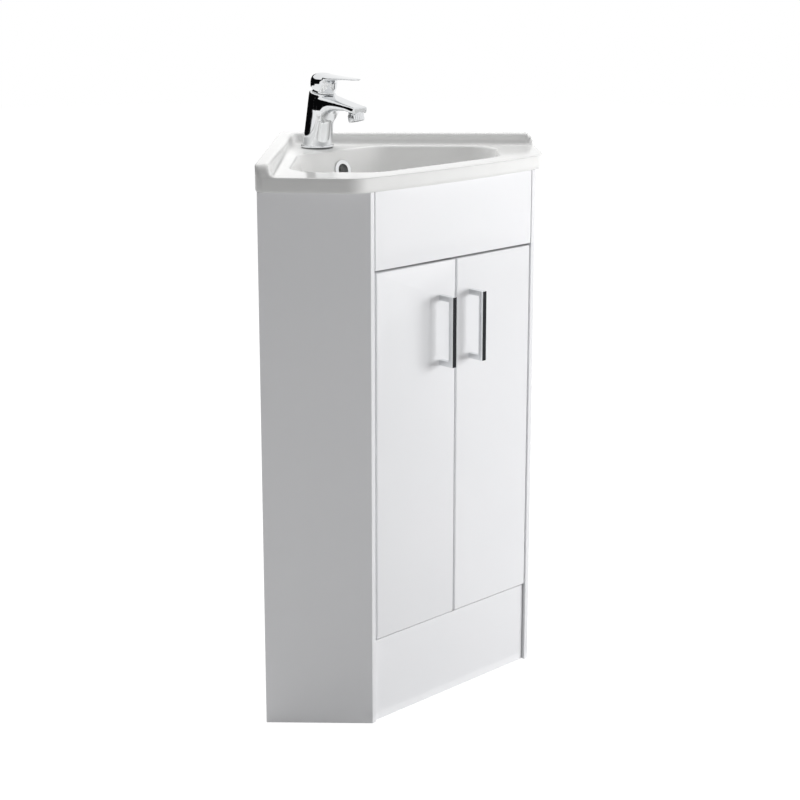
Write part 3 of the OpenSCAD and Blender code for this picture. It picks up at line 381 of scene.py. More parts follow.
# ---- Shelf pegs ----
# Plated steel pegs with a thin collar, pushed into drilled holes in the back and side panels.
# The loose shelf lies on all four.
peg_z, peg_hole = 387.5, 8.7
peg_rear_along, peg_front_off = 217, 80
peg = creased(turned([(0, 0), (2.1, 0), (2.5, 0.5), (2.5, 8.7), (3.9, 8.7), (4, 8.9), (4, 9.5),
                      (3.9, 9.7), (2.5, 9.7), (2.5, 17.5), (2.1, 18), (0, 18)], 28))
peg_spots = []
for side in (-1, 1):
    peg_spots.append((on_wall(side, peg_rear_along, back_thick - peg_hole, peg_z),
                      (-side / sqrt(2), -1 / sqrt(2), 0)))
    peg_spots.append((on_wall(side, inner_side + peg_hole, peg_front_off, peg_z),
                      (-side / sqrt(2), 1 / sqrt(2), 0)))
fit("shelf_pegs_plated", set_out(peg_spots, peg, plated), plated, "cabinet", "plated_steel",
    "shelf_pegs")

# ---- Doors ----
# Two 18 mm doors wrapped in the same foil over softly rounded front edges. Each is drilled at
# the back for two hinge cups and their screws, and right through for the handle's screws.
door_x0, door_x1 = 1.5, 158.291
door_z0, door_z1 = 128.5, 671.5
door_edge_r, front_line = 2.0, 388.909
hinge_z = (228.5, 571.5)
cup_x, cup_r, cup_deep = 135.791, 17.6, 11.8
cup_screw_shift, cup_screw_half, cup_screw_r, cup_screw_deep = 9.5, 24, 1.6, 11
handle_x, handle_z, handle_centres, handle_bore_r = 31, 571, 96, 2.5


def slab(x0, x1, z0, z1, front, back, radius):
    """A board across the front, given by t from the room corner, its front edges rounded."""
    def ring(inset, t, corner):
        points = []
        for cx, cz, start in ((x1, z1, 0), (x0, z1, 90), (x0, z0, 180), (x1, z0, 270)):
            ox = cx - corner - inset if cx == x1 else cx + corner + inset
            oz = cz - corner - inset if cz == z1 else cz + corner + inset
            for a in range(0, 91, 18):
                angle = radians(start + a)
                spot = in_room(ox + corner * cos(angle), t, oz + corner * sin(angle))
                points.append(Vector(spot) * mm)
        return points
    rings = [ring(0.5, back, 0.8), ring(0, back + 0.5, 1.0), ring(0, front - radius, 1.0)]
    for step in range(1, 7):
        angle = radians(15 * step)
        rings.append(ring(radius * (1 - cos(angle)), front - radius * (1 - sin(angle)), 1.0))
    return loft(rings)


def shifted(mesh, matrix):
    """The mesh moved by a matrix, which keeps its object at the origin."""
    mesh = mesh.copy()
    mesh.transform(matrix)
    if matrix.determinant() < 0:
        mesh.flip_normals()
    return mesh


def moved_to(x, t, z):
    """The matrix that takes the origin to a plan place and a height."""
    return Matrix.Translation(Vector(in_room(x, t, z)) * mm)


def rod(radius, low, high, count=64):
    """A plain round cutter along z between two heights, in millimetres."""
    return turned([(0, low), (radius, low), (radius, high), (0, high)], count)


def drill(radius, depth, x, t, z):
    """A round cutter that enters from behind at plan depth t and runs forward to its depth."""
    return shifted(rod(radius, 0, depth), moved_to(x, t, z) @ Matrix.Rotation(radians(90), 4, "X"))


mirror_x = Matrix.Scale(-1, 4, Vector((1, 0, 0)))
door = slab(door_x0, door_x1, door_z0, door_z1, front_line, panel_back, door_edge_r)
door = cut(door, *[drill(cup_r, cup_deep + 1, cup_x, panel_back - 1, z) for z in hinge_z])
door = cut(door, *[drill(cup_screw_r, cup_screw_deep + 1, cup_x - cup_screw_shift, panel_back - 1,
                         z + s * cup_screw_half) for z in hinge_z for s in (-1, 1)])
door = cut(door, *[drill(handle_bore_r, 20, handle_x, panel_back - 1,
                         handle_z + s * handle_centres / 2) for s in (-1, 1)])
door = creased(door, 50)
door = worked(door, ("WEIGHTED_NORMAL", dict(keep_sharp=True)))
fit("right_door_leaf", door, foil, "right_door", "board", "right_door")
fit("left_door_leaf", shifted(door, mirror_x), foil, "left_door", "board", "left_door")

# ---- Handles ----
# Square bow handles of polished chrome on zinc, 96 mm between their screws. The arrises are
# eased, so each edge carries a fine bright line. Pan-head screws hold them from inside the doors.

# Decorative chrome plate: almost a mirror, barely blue, with the faintest waves from polishing.
chrome, tree, place = blank_finish("bright_chrome_plate")
haze = add(tree, "ShaderNodeTexNoise", {"Vector": place, "Scale": 1 / (22 * mm), "Detail": 3.0})
tone = add(tree, "ShaderNodeMix", {0: haze, 6: srgb("#DDDFE1"), 7: srgb("#E8E9EA")},
           data_type="RGBA")
dull = add(tree, "ShaderNodeMapRange", {0: haze, 3: 0.03, 4: 0.09})
relief = add(tree, "ShaderNodeBump", {"Height": haze, "Strength": 0.04, "Distance": 0.3 * mm})
shade = add(tree, "ShaderNodeBsdfPrincipled", {
    "Base Color": tone.outputs[2], "Metallic": 1.0, "Roughness": dull, "Normal": relief})
add(tree, "ShaderNodeOutputMaterial", {0: shade})

handle_screw = cross_head(4.25, 2.2, 2, 30)
for side, sign in (("left", -1), ("right", 1)):
    eased(side + "_handle", "bow", 0.35, chrome, side + "_door", "chrome", steps=3)
    spots = [(in_room(sign * handle_x, panel_back - 2.2, handle_z + s * handle_centres / 2),
              (0, -1, 0)) for s in (-1, 1)]
    fit(side + "_handle_screws_plated", set_out(spots, handle_screw, plated, 40), plated,
        side + "_door", "plated_steel", side + "_handle_screws")

# ---- Hinges and buffers ----
# Concealed hinges of pressed, zinc-plated steel: a cup with two wings let into the door, an arm,
# and a plate screwed to the side panel. Clear buffers soften the doors' last millimetre.
cup_screw = cross_head(3, 1.6, 1.5, 12.6)
for side, sign in (("left", -1), ("right", 1)):
    eased(side + "_hinge_cups", "pressed", 0.35, plated, side + "_door", "plated_steel")
    spots = [(in_room(sign * (cup_x - cup_screw_shift), panel_back - 3, z + s * cup_screw_half),
              (0, -1, 0)) for z in hinge_z for s in (-1, 1)]
    fit(side + "_cup_screws_plated", set_out(spots, cup_screw, plated, 15), plated,
        side + "_door", "plated_steel", side + "_cup_screws")
eased("hinge_arms", "pressed", 0.9, plated, "cabinet", "plated_steel", steps=3)
eased("hinge_plates", "pressed", 0.5, plated, "cabinet", "plated_steel")

opening_half = 161.2914
plate_long, plate_screw_share = 42, 0.36
plate_along, plate_off = 30 / sqrt(2), 5.8 / sqrt(2)
plate_spots = []
for side in (-1, 1):
    for z in hinge_z:
        for s in (-1, 1):
            spot = in_room(side * (opening_half + plate_along - plate_off),
                           inner_sum - opening_half - plate_along - plate_off,
                           z + s * plate_long * plate_screw_share)
            plate_spots.append((spot, (side / sqrt(2), -1 / sqrt(2), 0)))
plate_screw = cross_head(3.5, 1.8, 1.75, 15.8)
fit("plate_screws_plated", set_out(plate_spots, plate_screw, plated, 20), plated, "cabinet",
    "plated_steel", "plate_screws")

# Clear polyurethane, moulded as small domes: glassy, with a grey cast from the foil behind.
clear, tree, place = blank_finish("clear_moulded_polyurethane")
cloud = add(tree, "ShaderNodeTexNoise", {"Vector": place, "Scale": 1 / (5 * mm)})
dull = add(tree, "ShaderNodeMapRange", {0: cloud, 3: 0.08, 4: 0.2})
shade = add(tree, "ShaderNodeBsdfPrincipled", {
    "Base Color": srgb("#E4E6E5"), "Roughness": dull, "IOR": 1.5,
    "Transmission Weight": 0.6})
add(tree, "ShaderNodeOutputMaterial", {0: shade})

buffer = creased(turned([(0, 0), (2.2, 0.06), (3.2, 0.35), (3.8, 0.9), (4, 1.45), (4, 1.7),
                         (0, 1.7)], 24), 60)
buffer_spots = [(in_room(side * x, panel_back - 0.3, door_z0 + 6), (0, 1, 0))
                for side in (-1, 1) for x in (door_x0 + 16, door_x1 - 60)]
fit("door_buffers_clear", set_out(buffer_spots, buffer, clear), clear, "cabinet", "clear_plastic",
    "door_buffers")

# ---- Basin ----
# Slip-cast vitreous china, glazed all over: a deck with an upstand along both walls, a bowed
# front edge and a wide bowl. Every edge is as round as the glaze leaves it. It sits loose on the
# cupboard in a bead of sealant.
cupboard_h, deck_z, edge_r = 785, 806, 2.5
waste_t, waste_r = 240, 22.5
basin_outline = [(0, -4.243, 12), (282.843, 278.6, 14), (189.991, 387.008, 40),
                 (0, 404.273, 1650), (-189.991, 387.008, 40), (-282.843, 278.6, 14)]
bowl_outline = [(81.260, 135, 45), (213.547, 267.287, 48), (123.424, 357.409, 60),
                (-123.424, 357.409, 60), (-213.547, 267.287, 48), (-81.260, 135, 45)]


point_gap = 0.6


def arms(corners, i):
    """The directions from a corner to its two neighbours, and half the angle between them."""
    here, before, after = corners[i], corners[i - 1], corners[(i + 1) % len(corners)]
    u, v = (before - here).normalized(), (after - here).normalized()
    return u, v, acos(max(-1, min(1, u.dot(v)))) / 2


def points_between(start, end):
    """Points on the straight line between two, without the two themselves."""
    gap = end - start
    parts = max(1, int(gap.length / point_gap))
    return [start + gap * k / parts for k in range(1, parts)]


def outline(corners, inset, least=6.0, keep=1.0):
    """Close points on an outline with rounded corners, drawn in by inset. A corner's radius loses
    a share of the inset, but it never falls under the least."""
    given_at = [Vector((x, t)) for x, t, _ in corners]
    moved = []
    for i, here in enumerate(given_at):
        u, v, half = arms(given_at, i)
        moved.append(here + (u + v).normalized() * inset / sin(half))
    points = []
    for i, here in enumerate(moved):
        r = max(corners[i][2] - keep * inset, least)
        u, v, half = arms(moved, i)
        centre = here + (u + v).normalized() * r / sin(half)
        start = here + u * r / tan(half) - centre
        end = here + v * r / tan(half) - centre
        first = atan2(start.y, start.x)
        sweep = (atan2(end.y, end.x) - first + 3 * pi) % (2 * pi) - pi
        steps = max(12, int(abs(sweep) * r / point_gap))
        turns = [first + sweep * k / steps for k in range(steps + 1)]
        arc = [centre + r * Vector((cos(a), sin(a))) for a in turns]
        if points:
            points += points_between(points[-1], arc[0])
        points += arc
    return points + points_between(points[-1], points[0])


def reach(points, angles):
    """How far an outline lies from the waste along each ray, as an array."""
    rel = np.array([(p.x, p.y - waste_t) for p in points])
    turn_of = np.arctan2(rel[:, 1], rel[:, 0])
    order = np.argsort(turn_of)
    return np.interp(angles, turn_of[order], np.hypot(rel[:, 0], rel[:, 1])[order], period=2 * pi)


# Rays from the waste to the outer edge, closer together where the upstands end and in the corner
edge_points = outline(basin_outline, 0)
ray_angles, walked = [], 1e9
for i, p in enumerate(edge_points):
    wall_gap = (p.y - abs(p.x)) / sqrt(2)
    close = -2.5 < wall_gap < 31 or (abs(p.x) < 25 and p.y < 20)
    walked += (p - edge_points[i - 1]).length
    if walked >= (1.1 if close else 3.6):
        ray_angles.append(atan2(p.y - waste_t, p.x))
        walked = 0
ray_angles = np.sort(np.array(ray_angles))


def drawn_in(corners, inset, *corner_rule):
    """How far an outline drawn in by inset reaches along every ray."""
    return reach(outline(corners, inset, *corner_rule), ray_angles)


# The upstand is flat on top, rounds over, and runs down to the deck through a cove
flat_w, round_w, cove_w = 12, 6, 10
cove_top, round_drop, cove_drop = 815.5, 7.5, 9.5
wing_end, wing_round, corner_soft = 384, 13.5, 7.0


def upstand_height(x, t):
    """Height of the deck, with the upstand and its cove, from the distance to the nearer wall.
    The upstand rounds off at the end of each wing."""
    off = (t - np.hypot(x, corner_soft)) / sqrt(2)
    end = np.sqrt(1 - np.clip(((t + abs(x)) / sqrt(2) - wing_end) / wing_round, 0, 1) ** 2)
    cove_from = flat_w + round_w
    foot_at = cove_from + cove_w
    top = cove_top + round_drop * np.sqrt(1 - (np.clip(off - flat_w, 0, round_w) / round_w) ** 2)
    cove = cove_top - cove_drop * np.sqrt(1 - (np.clip(foot_at - off, 0, cove_w) / cove_w) ** 2)
    height = np.where(off < cove_from, top, np.where(off < foot_at, cove, deck_z))
    return deck_z + end * (height - deck_z)


def basin_ring(radii, height):
    """One ring of the basin's skin; the height is a number or is found from x and t."""
    x = radii * np.cos(ray_angles)
    t = radii * np.sin(ray_angles) + waste_t
    z = height(x, t) if callable(height) else np.full_like(x, height)
    return [Vector(in_room(*p)) * mm for p in zip(x, t, z)]


side_foot = cupboard_h + 4.2
rings = [basin_ring(drawn_in(basin_outline, inset), cupboard_h + up)
         for inset, up in ((1.5, 0), (0.75, 0.9), (0.2, 2.4), (0, 4.2))]
for share in (0.33, 0.66):
    rings.append(basin_ring(
        reach(edge_points, ray_angles),
        lambda x, t: side_foot + share * (upstand_height(x, t) - edge_r - side_foot)))
for angle in range(0, 91, 15):
    inset, drop = edge_r * (1 - cos(radians(angle))), edge_r * (1 - sin(radians(angle)))
    rings.append(basin_ring(drawn_in(basin_outline, inset),
                            lambda x, t: upstand_height(x, t) - drop))
for inset in (5, 10, 14, 16, 17.5, 18.6, 19.4, 20, 20.5, 20.8, 21.1, 21.5, 22.1, 22.9, 24, 25.3,
              26.8, 29):
    rings.append(basin_ring(drawn_in(basin_outline, inset), upstand_height))

# The bowl: a rounded lip, a wall that leans in, and a floor that runs to the waste. Its corners
# keep a radius of 30 mm and lose about a third of what the outline is drawn in by.
bowl_corner = (30, 0.35)
floor_from, floor_depth, waste_lip = 46.5, 107, 32
lip_start = drawn_in(bowl_outline, -3)
last = drawn_in(basin_outline, 29)
for share in (0.25, 0.5, 0.75):
    rings.append(basin_ring(last + share * (lip_start - last), upstand_height))
for angle in range(0, 77, 11):
    out = 3 - 5.2 * sin(radians(angle))
    rings.append(basin_ring(drawn_in(bowl_outline, -out), deck_z - 5 * (1 - cos(radians(angle)))))
wall = [(6.1, 3), (12, 4.5), (20, 6.5), (28, 8.5), (36, 10.6), (44, 12.8), (52, 15.2), (59, 17.7),
        (66, 20.8), (72, 24), (78, 27.8), (83, 31.8), (87.5, 36.2), (91.5, 41.2),
        (94.8, floor_from)]
for depth, inset in wall[1:]:
    rings.append(basin_ring(drawn_in(bowl_outline, inset, *bowl_corner), deck_z - depth))
low_reach = drawn_in(bowl_outline, floor_from, *bowl_corner)
for share, depth in ((0.1, 97.2), (0.22, 99.4), (0.35, 101.3), (0.5, 103.1), (0.65, 104.6),
                     (0.8, 105.8), (0.92, 106.6), (1.0, floor_depth)):
    rings.append(basin_ring(low_reach + share * (waste_lip - low_reach), deck_z - depth))
for radius, z in ((27, 699), (23.5, 699), (waste_r, 698), (waste_r, 690), (waste_r, 682),
                  (23.2, 681), (31, 681)):
    rings.append(basin_ring(np.full_like(ray_angles, radius), z))

# The underside: the outside of the bowl, the hollow under the deck and the seat on the cupboard
under_reach = drawn_in(bowl_outline, 39, 24, 0.35)
for share, z in ((0.88, 684), (0.7, 688), (0.45, 692.6), (0.2, 696.5), (0.0, 698.6)):
    rings.append(basin_ring(under_reach + share * (31 - under_reach), z))
for inset, z in ((30, 706), (19, 718.4), (11, 738), (4, 760), (-1, 778), (-4.5, 790), (-6.0, 795)):
    rings.append(basin_ring(drawn_in(bowl_outline, inset, *bowl_corner), z))
for inset, z in ((22, 795), (22, cupboard_h + 1), (21, cupboard_h)):
    rings.append(basin_ring(drawn_in(basin_outline, inset), z))
basin = loft(rings, loop=True)

# The overflow's hollow behind the bowl's rear wall and its duct down to the waste
pocket = bmesh.new()
for x in (-24, 24):
    for t, z in ((113, 706), (145, 706), (113, 795.5), (143, 795.5)):
        pocket.verts.new(Vector(in_room(x, t, z)) * mm)
for k in range(16):
    for z in (681.5, 689):
        spot = in_room(15 * cos(k * pi / 8), waste_t - 16 + 15 * sin(k * pi / 8), z)
        pocket.verts.new(Vector(spot) * mm)
bmesh.ops.convex_hull(pocket, input=pocket.verts)
duct = bpy.data.meshes.new("duct")
pocket.to_mesh(duct)
pocket.free()

# It stops inside the ceramic, 4 mm short of the bowl
china_over = 4
space = [basin_ring(drawn_in(bowl_outline, -china_over, *bowl_corner), deck_z + 20)]
for depth, inset in wall:
    space.append(basin_ring(drawn_in(bowl_outline, inset - china_over, *bowl_corner),
                            deck_z - depth))
for share, depth in ((0.1, 101.5), (0.35, 105.5), (0.65, 108.8), (1.0, floor_depth + china_over)):
    space.append(basin_ring(low_reach + share * (waste_lip - low_reach), deck_z - depth))
duct = cut(duct, loft(space))

# The last cut, the waste's hole, also clears whatever of the duct stands in it
overflow_z, overflow_r = 776, 11
tap_t, tap_hole_r = 85, 17.5
hollow = block((-18, corner_y - 128, 714), (18, corner_y - 119, 789))
basin = cut(basin, duct, how="UNION")
basin = cut(basin, hollow, drill(overflow_r, 26, 0, 121, overflow_z),
            shifted(rod(tap_hole_r, 0, 40), moved_to(0, tap_t, cupboard_h - 1)))
basin = cut(basin, shifted(rod(waste_r, 0, 19), moved_to(0, waste_t, 680.2)))

# Vitreous china under a clear glaze: a soft warm white with a wet, deep shine. The glaze lies in
# long, shallow waves about 30 mm across, and its white drifts a little from one to the next.
glaze, tree, place = blank_finish("glazed_vitreous_china")
flow = add(tree, "ShaderNodeTexNoise", {"Vector": place, "Scale": 1 / (30 * mm), "Detail": 2.0})
tone = add(tree, "ShaderNodeMix", {0: flow, 6: srgb("#EDEDEC"), 7: srgb("#F2F2F1")},
           data_type="RGBA")
relief = add(tree, "ShaderNodeBump", {"Height": flow, "Strength": 0.06, "Distance": 0.6 * mm})
dull = add(tree, "ShaderNodeMapRange", {0: flow, 3: 0.1, 4: 0.16})
shade = add(tree, "ShaderNodeBsdfPrincipled", {
    "Base Color": tone.outputs[2], "Roughness": dull, "IOR": 1.52, "Normal": relief})
add(tree, "ShaderNodeOutputMaterial", {0: shade})
fit("basin_china", creased(basin, 50), glaze, "cabinet", "ceramic", "basin")

# ---- Overflow ring ----
# A pressed brass trim, chrome plated, pushed into the overflow hole of the bowl's rear wall. It
# hides the hole's unglazed edge and shows as a small bright ring.
eased("overflow_ring", "trim", 0.5, chrome, "cabinet", "chrome", steps=3)

# ---- Waste ----
# A chrome-plated brass waste with a lift-out plug. Its flange beds on a rubber ring in the bowl,
# and a nylon nut draws it up against a second one from below.
eased("waste_body", "brass", 0.4, chrome, "cabinet", "chrome")
eased("waste_plug", "brass", 0.4, chrome, "waste_plug", "chrome")

# Moulded rubber: near black and dull, with a fine tooth from the mould.
rubber, tree, place = blank_finish("moulded_black_rubber")
tooth = add(tree, "ShaderNodeTexNoise", {"Vector": place, "Scale": 1 / (0.6 * mm), "Detail": 3.0})
tone = add(tree, "ShaderNodeMix", {0: tooth, 6: srgb("#1E1E20"), 7: srgb("#2D2D2F")},
           data_type="RGBA")
relief = add(tree, "ShaderNodeBump", {"Height": tooth, "Strength": 0.3, "Distance": 0.1 * mm})
shade = add(tree, "ShaderNodeBsdfPrincipled", {
    "Base Color": tone.outputs[2], "Roughness": 0.65, "Normal": relief})
add(tree, "ShaderNodeOutputMaterial", {0: shade})
eased("waste_seals", "rubber", 0.4, rubber, "cabinet", "rubber")
eased("plug_seal", "rubber", 0.5, rubber, "waste_plug", "rubber", steps=3)

# Injection-moulded nylon: milky white, half dull, with slow flow marks.
nylon, tree, place = blank_finish("moulded_white_nylon")
marks = add(tree, "ShaderNodeTexNoise", {
    "Vector": place, "Scale": 1 / (9 * mm), "Distortion": 1.2})
tone = add(tree, "ShaderNodeMix", {0: marks, 6: srgb("#E4E3DE"), 7: srgb("#EDECE8")},
           data_type="RGBA")
dull = add(tree, "ShaderNodeMapRange", {0: marks, 3: 0.38, 4: 0.5})
shade = add(tree, "ShaderNodeBsdfPrincipled", {
    "Base Color": tone.outputs[2], "Roughness": dull, "Subsurface Weight": 0.1,
    "Subsurface Radius": (0.002, 0.002, 0.002)})
add(tree, "ShaderNodeOutputMaterial", {0: shade})
eased("waste_nut", "nylon", 0.6, nylon, "cabinet", "white_plastic")

# ---- Tap body ----
# Cast brass, polished and chrome plated in one piece: a round foot, a slim body that leans
# towards the bowl, and a flat spout that grows out of it. It stands on a rubber ring.
tap_lean = radians(10)
tap_upright = moved_to(0, tap_t, deck_z)
tap_frame = tap_upright @ Matrix.Rotation(tap_lean, 4, "X")
cartridge_seat, body_top = 52, 87.5


def section(y, half, low, high, squareness, under=None):
    """A section across the tap's frame at y, between two heights; its lower half may be more
    square or rounder than its upper one."""
    points = []
    for k in range(72):
        c, s = cos(pi * k / 36), sin(pi * k / 36)
        power = 2 / (squareness if s >= 0 else under or squareness)
        x = half * abs(c) ** power * (1 if c >= 0 else -1)
        z = (low + high) / 2 + (high - low) / 2 * abs(s) ** power * (1 if s >= 0 else -1)
        points.append(Vector((x, y, z)) * mm)
    return points


spout = loft([section(*row) for row in (
    (4, 21, 38, 86, 4.5, 1.8), (-10, 20.8, 38, 86.8, 4.5, 1.8), (-20, 20, 41, 86.7, 4.4, 1.8),
    (-22.5, 19.8, 49, 86.6, 4.3, 1.9), (-25.5, 19.5, 55, 86.5, 4.2, 2),
    (-30, 19, 60.5, 86.4, 4, 2.1), (-36, 18.2, 64.8, 86.3, 3.8, 2.2),
    (-44, 17.2, 68.4, 86.1, 3.8, 2.4), (-54, 16.2, 71.4, 85.9, 3.9, 2.8),
    (-66, 15.3, 74, 85.6, 4.5, 3.4), (-76, 14.8, 74.9, 85.5, 5.5), (-84, 14.6, 75, 85.5, 6),
    (-86.2, 14.3, 75.2, 85.3, 6), (-87, 13.6, 75.8, 84.8, 6))])

# The body stands level on its foot and reaches its full lean over its first 16 mm
column, lean_over = [], 16
for h, r in ((2.5, 23.4), (4, 22.9), (7, 22.6), (12, 22.4), (24, 22.05), (40, 21.8), (56, 21.6),
             (70, 21.5), (82, 21.3), (85.6, 21.1), (86.8, 20.6), (87.4, 19.8)):
    centre = Matrix.Rotation(tap_lean, 3, "X") @ Vector((0, 0, h))
    tilt = Matrix.Rotation(tap_lean * min(1, h / lean_over), 3, "X")
    circle = [Vector((r * cos(2 * pi * k / 96), r * sin(2 * pi * k / 96), 0)) for k in range(96)]
    column.append([tap_frame.inverted() @ (tap_upright @ ((centre + tilt @ p) * mm))
                   for p in circle])
casting = cut(loft(column), spout, how="UNION")
casting = worked(casting, ("REMESH", dict(mode="VOXEL", voxel_size=0.9 * mm)),
                 ("SMOOTH", dict(factor=0.5, iterations=9)))
casting = shifted(casting, tap_frame)
foot = shifted(turned([(0, 1), (25.2, 1), (25.8, 1.4), (26, 2), (26, 2.8), (25.7, 3.5), (25, 4),
                       (22, 4.3), (0, 4.3)], 96), tap_upright)
casting = cut(casting, foot, how="UNION")

# What is bored out of it: the cartridge's seat, the spout's mouth, two inlets and a stud hole
aerator_place, aerator_turn = (0, -76, 76.5), radians(180 - 24)
aerator_frame = (tap_frame @ Matrix.Translation(Vector(aerator_place) * mm)
                 @ Matrix.Rotation(aerator_turn, 4, "X"))
mouth = turned([(0, -4), (10.8, -4), (10.8, 3.7), (12.6, 3.7), (12.6, 30), (0, 30)], 64)
under_bores = [
    shifted(rod(radius, -1, 16, 32), tap_upright @ Matrix.Translation(Vector((x, y, 0)) * mm))
    for radius, x, y in ((4.45, -7.5, 8), (4.45, 7.5, 8), (4.1, 0, -9))]
casting = cut(casting, shifted(rod(17.4, cartridge_seat, 100), tap_frame),
              shifted(rod(30, body_top, 100, 48), tap_frame), shifted(mouth, aerator_frame),
              *under_bores)
fit("tap_body_casting", creased(casting, 42), chrome, "cabinet", "chrome", "tap_body")
eased("tap_gasket", "rubber", 0.3, rubber, "cabinet", "rubber")

# ---- Cartridge, its nut and the lever's carrier ----
# A moulded cartridge drops into the body under a plated ring nut. Its carrier turns with the
# lever and holds the brass stem on a steel pin.
eased("tap_cartridge", "moulded", 0.3, nylon, "cabinet", "white_plastic")
eased("cartridge_nut", "plated", 0.8, chrome, "cabinet", "chrome", steps=3)
eased("spindle_carrier", "moulded", 0.3, nylon, "tap_spindle", "white_plastic")
eased("lever_pin", "plated", 0.3, plated, "tap_spindle", "plated_steel")

# Brass, turned and left bare: warm yellow with fine rings from the tool, about 2 mm apart.
brass, tree, place = blank_finish("turned_bare_brass")
tool_marks = add(tree, "ShaderNodeTexWave", {
    "Vector": place, "Scale": 1 / (6 * mm), "Distortion": 0.6},
    wave_type="BANDS", bands_direction="Z")
tone = add(tree, "ShaderNodeMix", {
    0: tool_marks.outputs[1], 6: srgb("#B8913F"), 7: srgb("#D0AE62")}, data_type="RGBA")
relief = add(tree, "ShaderNodeBump", {
    "Height": tool_marks.outputs[1], "Strength": 0.2, "Distance": 0.1 * mm})
shade = add(tree, "ShaderNodeBsdfPrincipled", {
    "Base Color": tone.outputs[2], "Metallic": 1.0, "Roughness": 0.28, "Normal": relief})
add(tree, "ShaderNodeOutputMaterial", {0: shade})
eased("lever_stem", "brass", 0.5, brass, "tap_lever", "brass")

# ---- Lever ----
# One zinc casting, polished and chrome plated: a domed hood over the cartridge that draws out
# into a thin paddle. A grub screw behind a small plug locks it to the stem.
hood_back, rim_run = 21, 7
# The hood's open rim falls towards the front, 1 mm in every rim_run
hood_rings = []
for share, back, front, half, z in (
        (1, 19.9, 18.4, 19.4, 95), (0.8, 20.5, 19.0, 20.0, 96.4), (0.45, 20.9, 20.0, 20.6, 99.5),
        (0.15, 21, 20.2, 20.8, 103.5), (0, 20.6, 20.3, 20.4, 107), (0, 19.2, 23.6, 19.2, 110.4),
        (0, 16.4, 27.2, 16.8, 113.2), (0, 12.4, 26.6, 13, 115.2), (0, 6.5, 23, 8.4, 116.4),
        (0, 2, 18, 3, 116.9)):
    ring = []
    for k in range(96):
        x, y = half * cos(pi * k / 48), sin(pi * k / 48) * (back if k < 48 else front)
        ring.append(Vector((x, y, z - share * (hood_back - y) / rim_run)) * mm)
    hood_rings.append(ring)
paddle = loft([section(*row) for row in (
    (8, 11, 108, 114.6, 2.2), (-8, 15, 108, 117.3, 2.2), (-20, 16.4, 108.5, 118.4, 2.3),
    (-30, 16, 112, 119.4, 2.4), (-40, 14.8, 115.6, 120.6, 2.5), (-50, 13.2, 118.4, 122, 2.6),
    (-60, 11.6, 120.4, 123.5, 2.8), (-68, 9.8, 121.8, 124.8, 2.8), (-73, 7.4, 122.8, 125.4, 2.6),
    (-75.6, 4, 123.6, 125.4, 2.2))])
hood = cut(loft(hood_rings), paddle, how="UNION")
hood = worked(hood, ("REMESH", dict(mode="VOXEL", voxel_size=0.7 * mm)),
              ("SMOOTH", dict(factor=0.5, iterations=8)))

# Its hollow over the nut, the square socket for the stem and the hole for the grub screw
socket_half = 4.1
screw_hole = shifted(rod(2.6, 0, 40, 32), Matrix.Translation(Vector((0, -3, 107)) * mm)
                     @ Matrix.Rotation(radians(90), 4, "X"))
hood = cut(hood, turned([(0, 84), (17.7, 84), (17.7, 103.5), (16.9, 104.5), (0, 104.5)], 96),
           block((-socket_half, -socket_half, 100), (socket_half, socket_half, 114)), screw_hole)
hood = shifted(hood, tap_frame)
fit("lever_handle_casting", creased(hood, 45), chrome, "tap_lever", "chrome", "lever_handle")
eased("lever_screw", "steel", 0.3, plated, "tap_lever", "plated_steel")

# Moulded acetal: a plain grey plug, half dull.
acetal, tree, place = blank_finish("moulded_grey_acetal")
marks = add(tree, "ShaderNodeTexNoise", {"Vector": place, "Scale": 1 / (2 * mm), "Detail": 2.0})
tone = add(tree, "ShaderNodeMix", {0: marks, 6: srgb("#77797C"), 7: srgb("#86888B")},
           data_type="RGBA")
shade = add(tree, "ShaderNodeBsdfPrincipled", {"Base Color": tone.outputs[2], "Roughness": 0.36})
add(tree, "ShaderNodeOutputMaterial", {0: shade})
eased("index_button", "plug", 0.7, acetal, "tap_lever", "grey_plastic", steps=3)

# ---- Aerator ----
# A plated brass ring holds a moulded jet insert at the spout's end. It has 24 ribs all round, so
# that wet fingers can unscrew it.
sleeve = turned([(10.7, -3), (10.7, 3.9), (11.4, 4), (11.8, 4.5), (11.8, 14.9), (11.3, 15.5),
                 (9.8, 15.5), (9.3, 15.1), (9.3, -3)], 96, loop=True)

ribs, given = node_group(
    "ribs_round_a_ring", ("Ring", "Geometry"), ("Ring radius", "Float"), ("Rib radius", "Float"),
    ("Rib length", "Float"), ("Rib middle", "Float"), ("Rib count", "Int"), ("Finish", "Material"))
circle = add(ribs, "GeometryNodeMeshCircle", {
    "Vertices": given["Rib count"], "Radius": given["Ring radius"]})
lift = add(ribs, "ShaderNodeCombineXYZ", {2: given["Rib middle"]})
raised = add(ribs, "GeometryNodeTransform", {"Geometry": circle, "Translation": lift})
rib = add(ribs, "GeometryNodeMeshCylinder", {
    "Vertices": 10, "Radius": given["Rib radius"], "Depth": given["Rib length"]})
spread = add(ribs, "GeometryNodeInstanceOnPoints", {"Points": raised, "Instance": rib})
whole = add(ribs, "GeometryNodeJoinGeometry")
ribs.links.new(given["Ring"], whole.inputs[0])
ribs.links.new(spread.outputs[0], whole.inputs[0])
coated(ribs, whole, given["Finish"])

ribbed = grown(sleeve, ribs, {
    "Ring radius": 11.6 * mm, "Rib radius": 0.7 * mm, "Rib length": 9.4 * mm,
    "Rib middle": 9.75 * mm, "Rib count": 24, "Finish": chrome})
fit("aerator_housing_ribbed", creased(shifted(ribbed, aerator_frame), 40), chrome, "cabinet",
    "chrome", "aerator_housing")
eased("aerator_insert", "moulded", 0.2, acetal, "cabinet", "white_plastic")

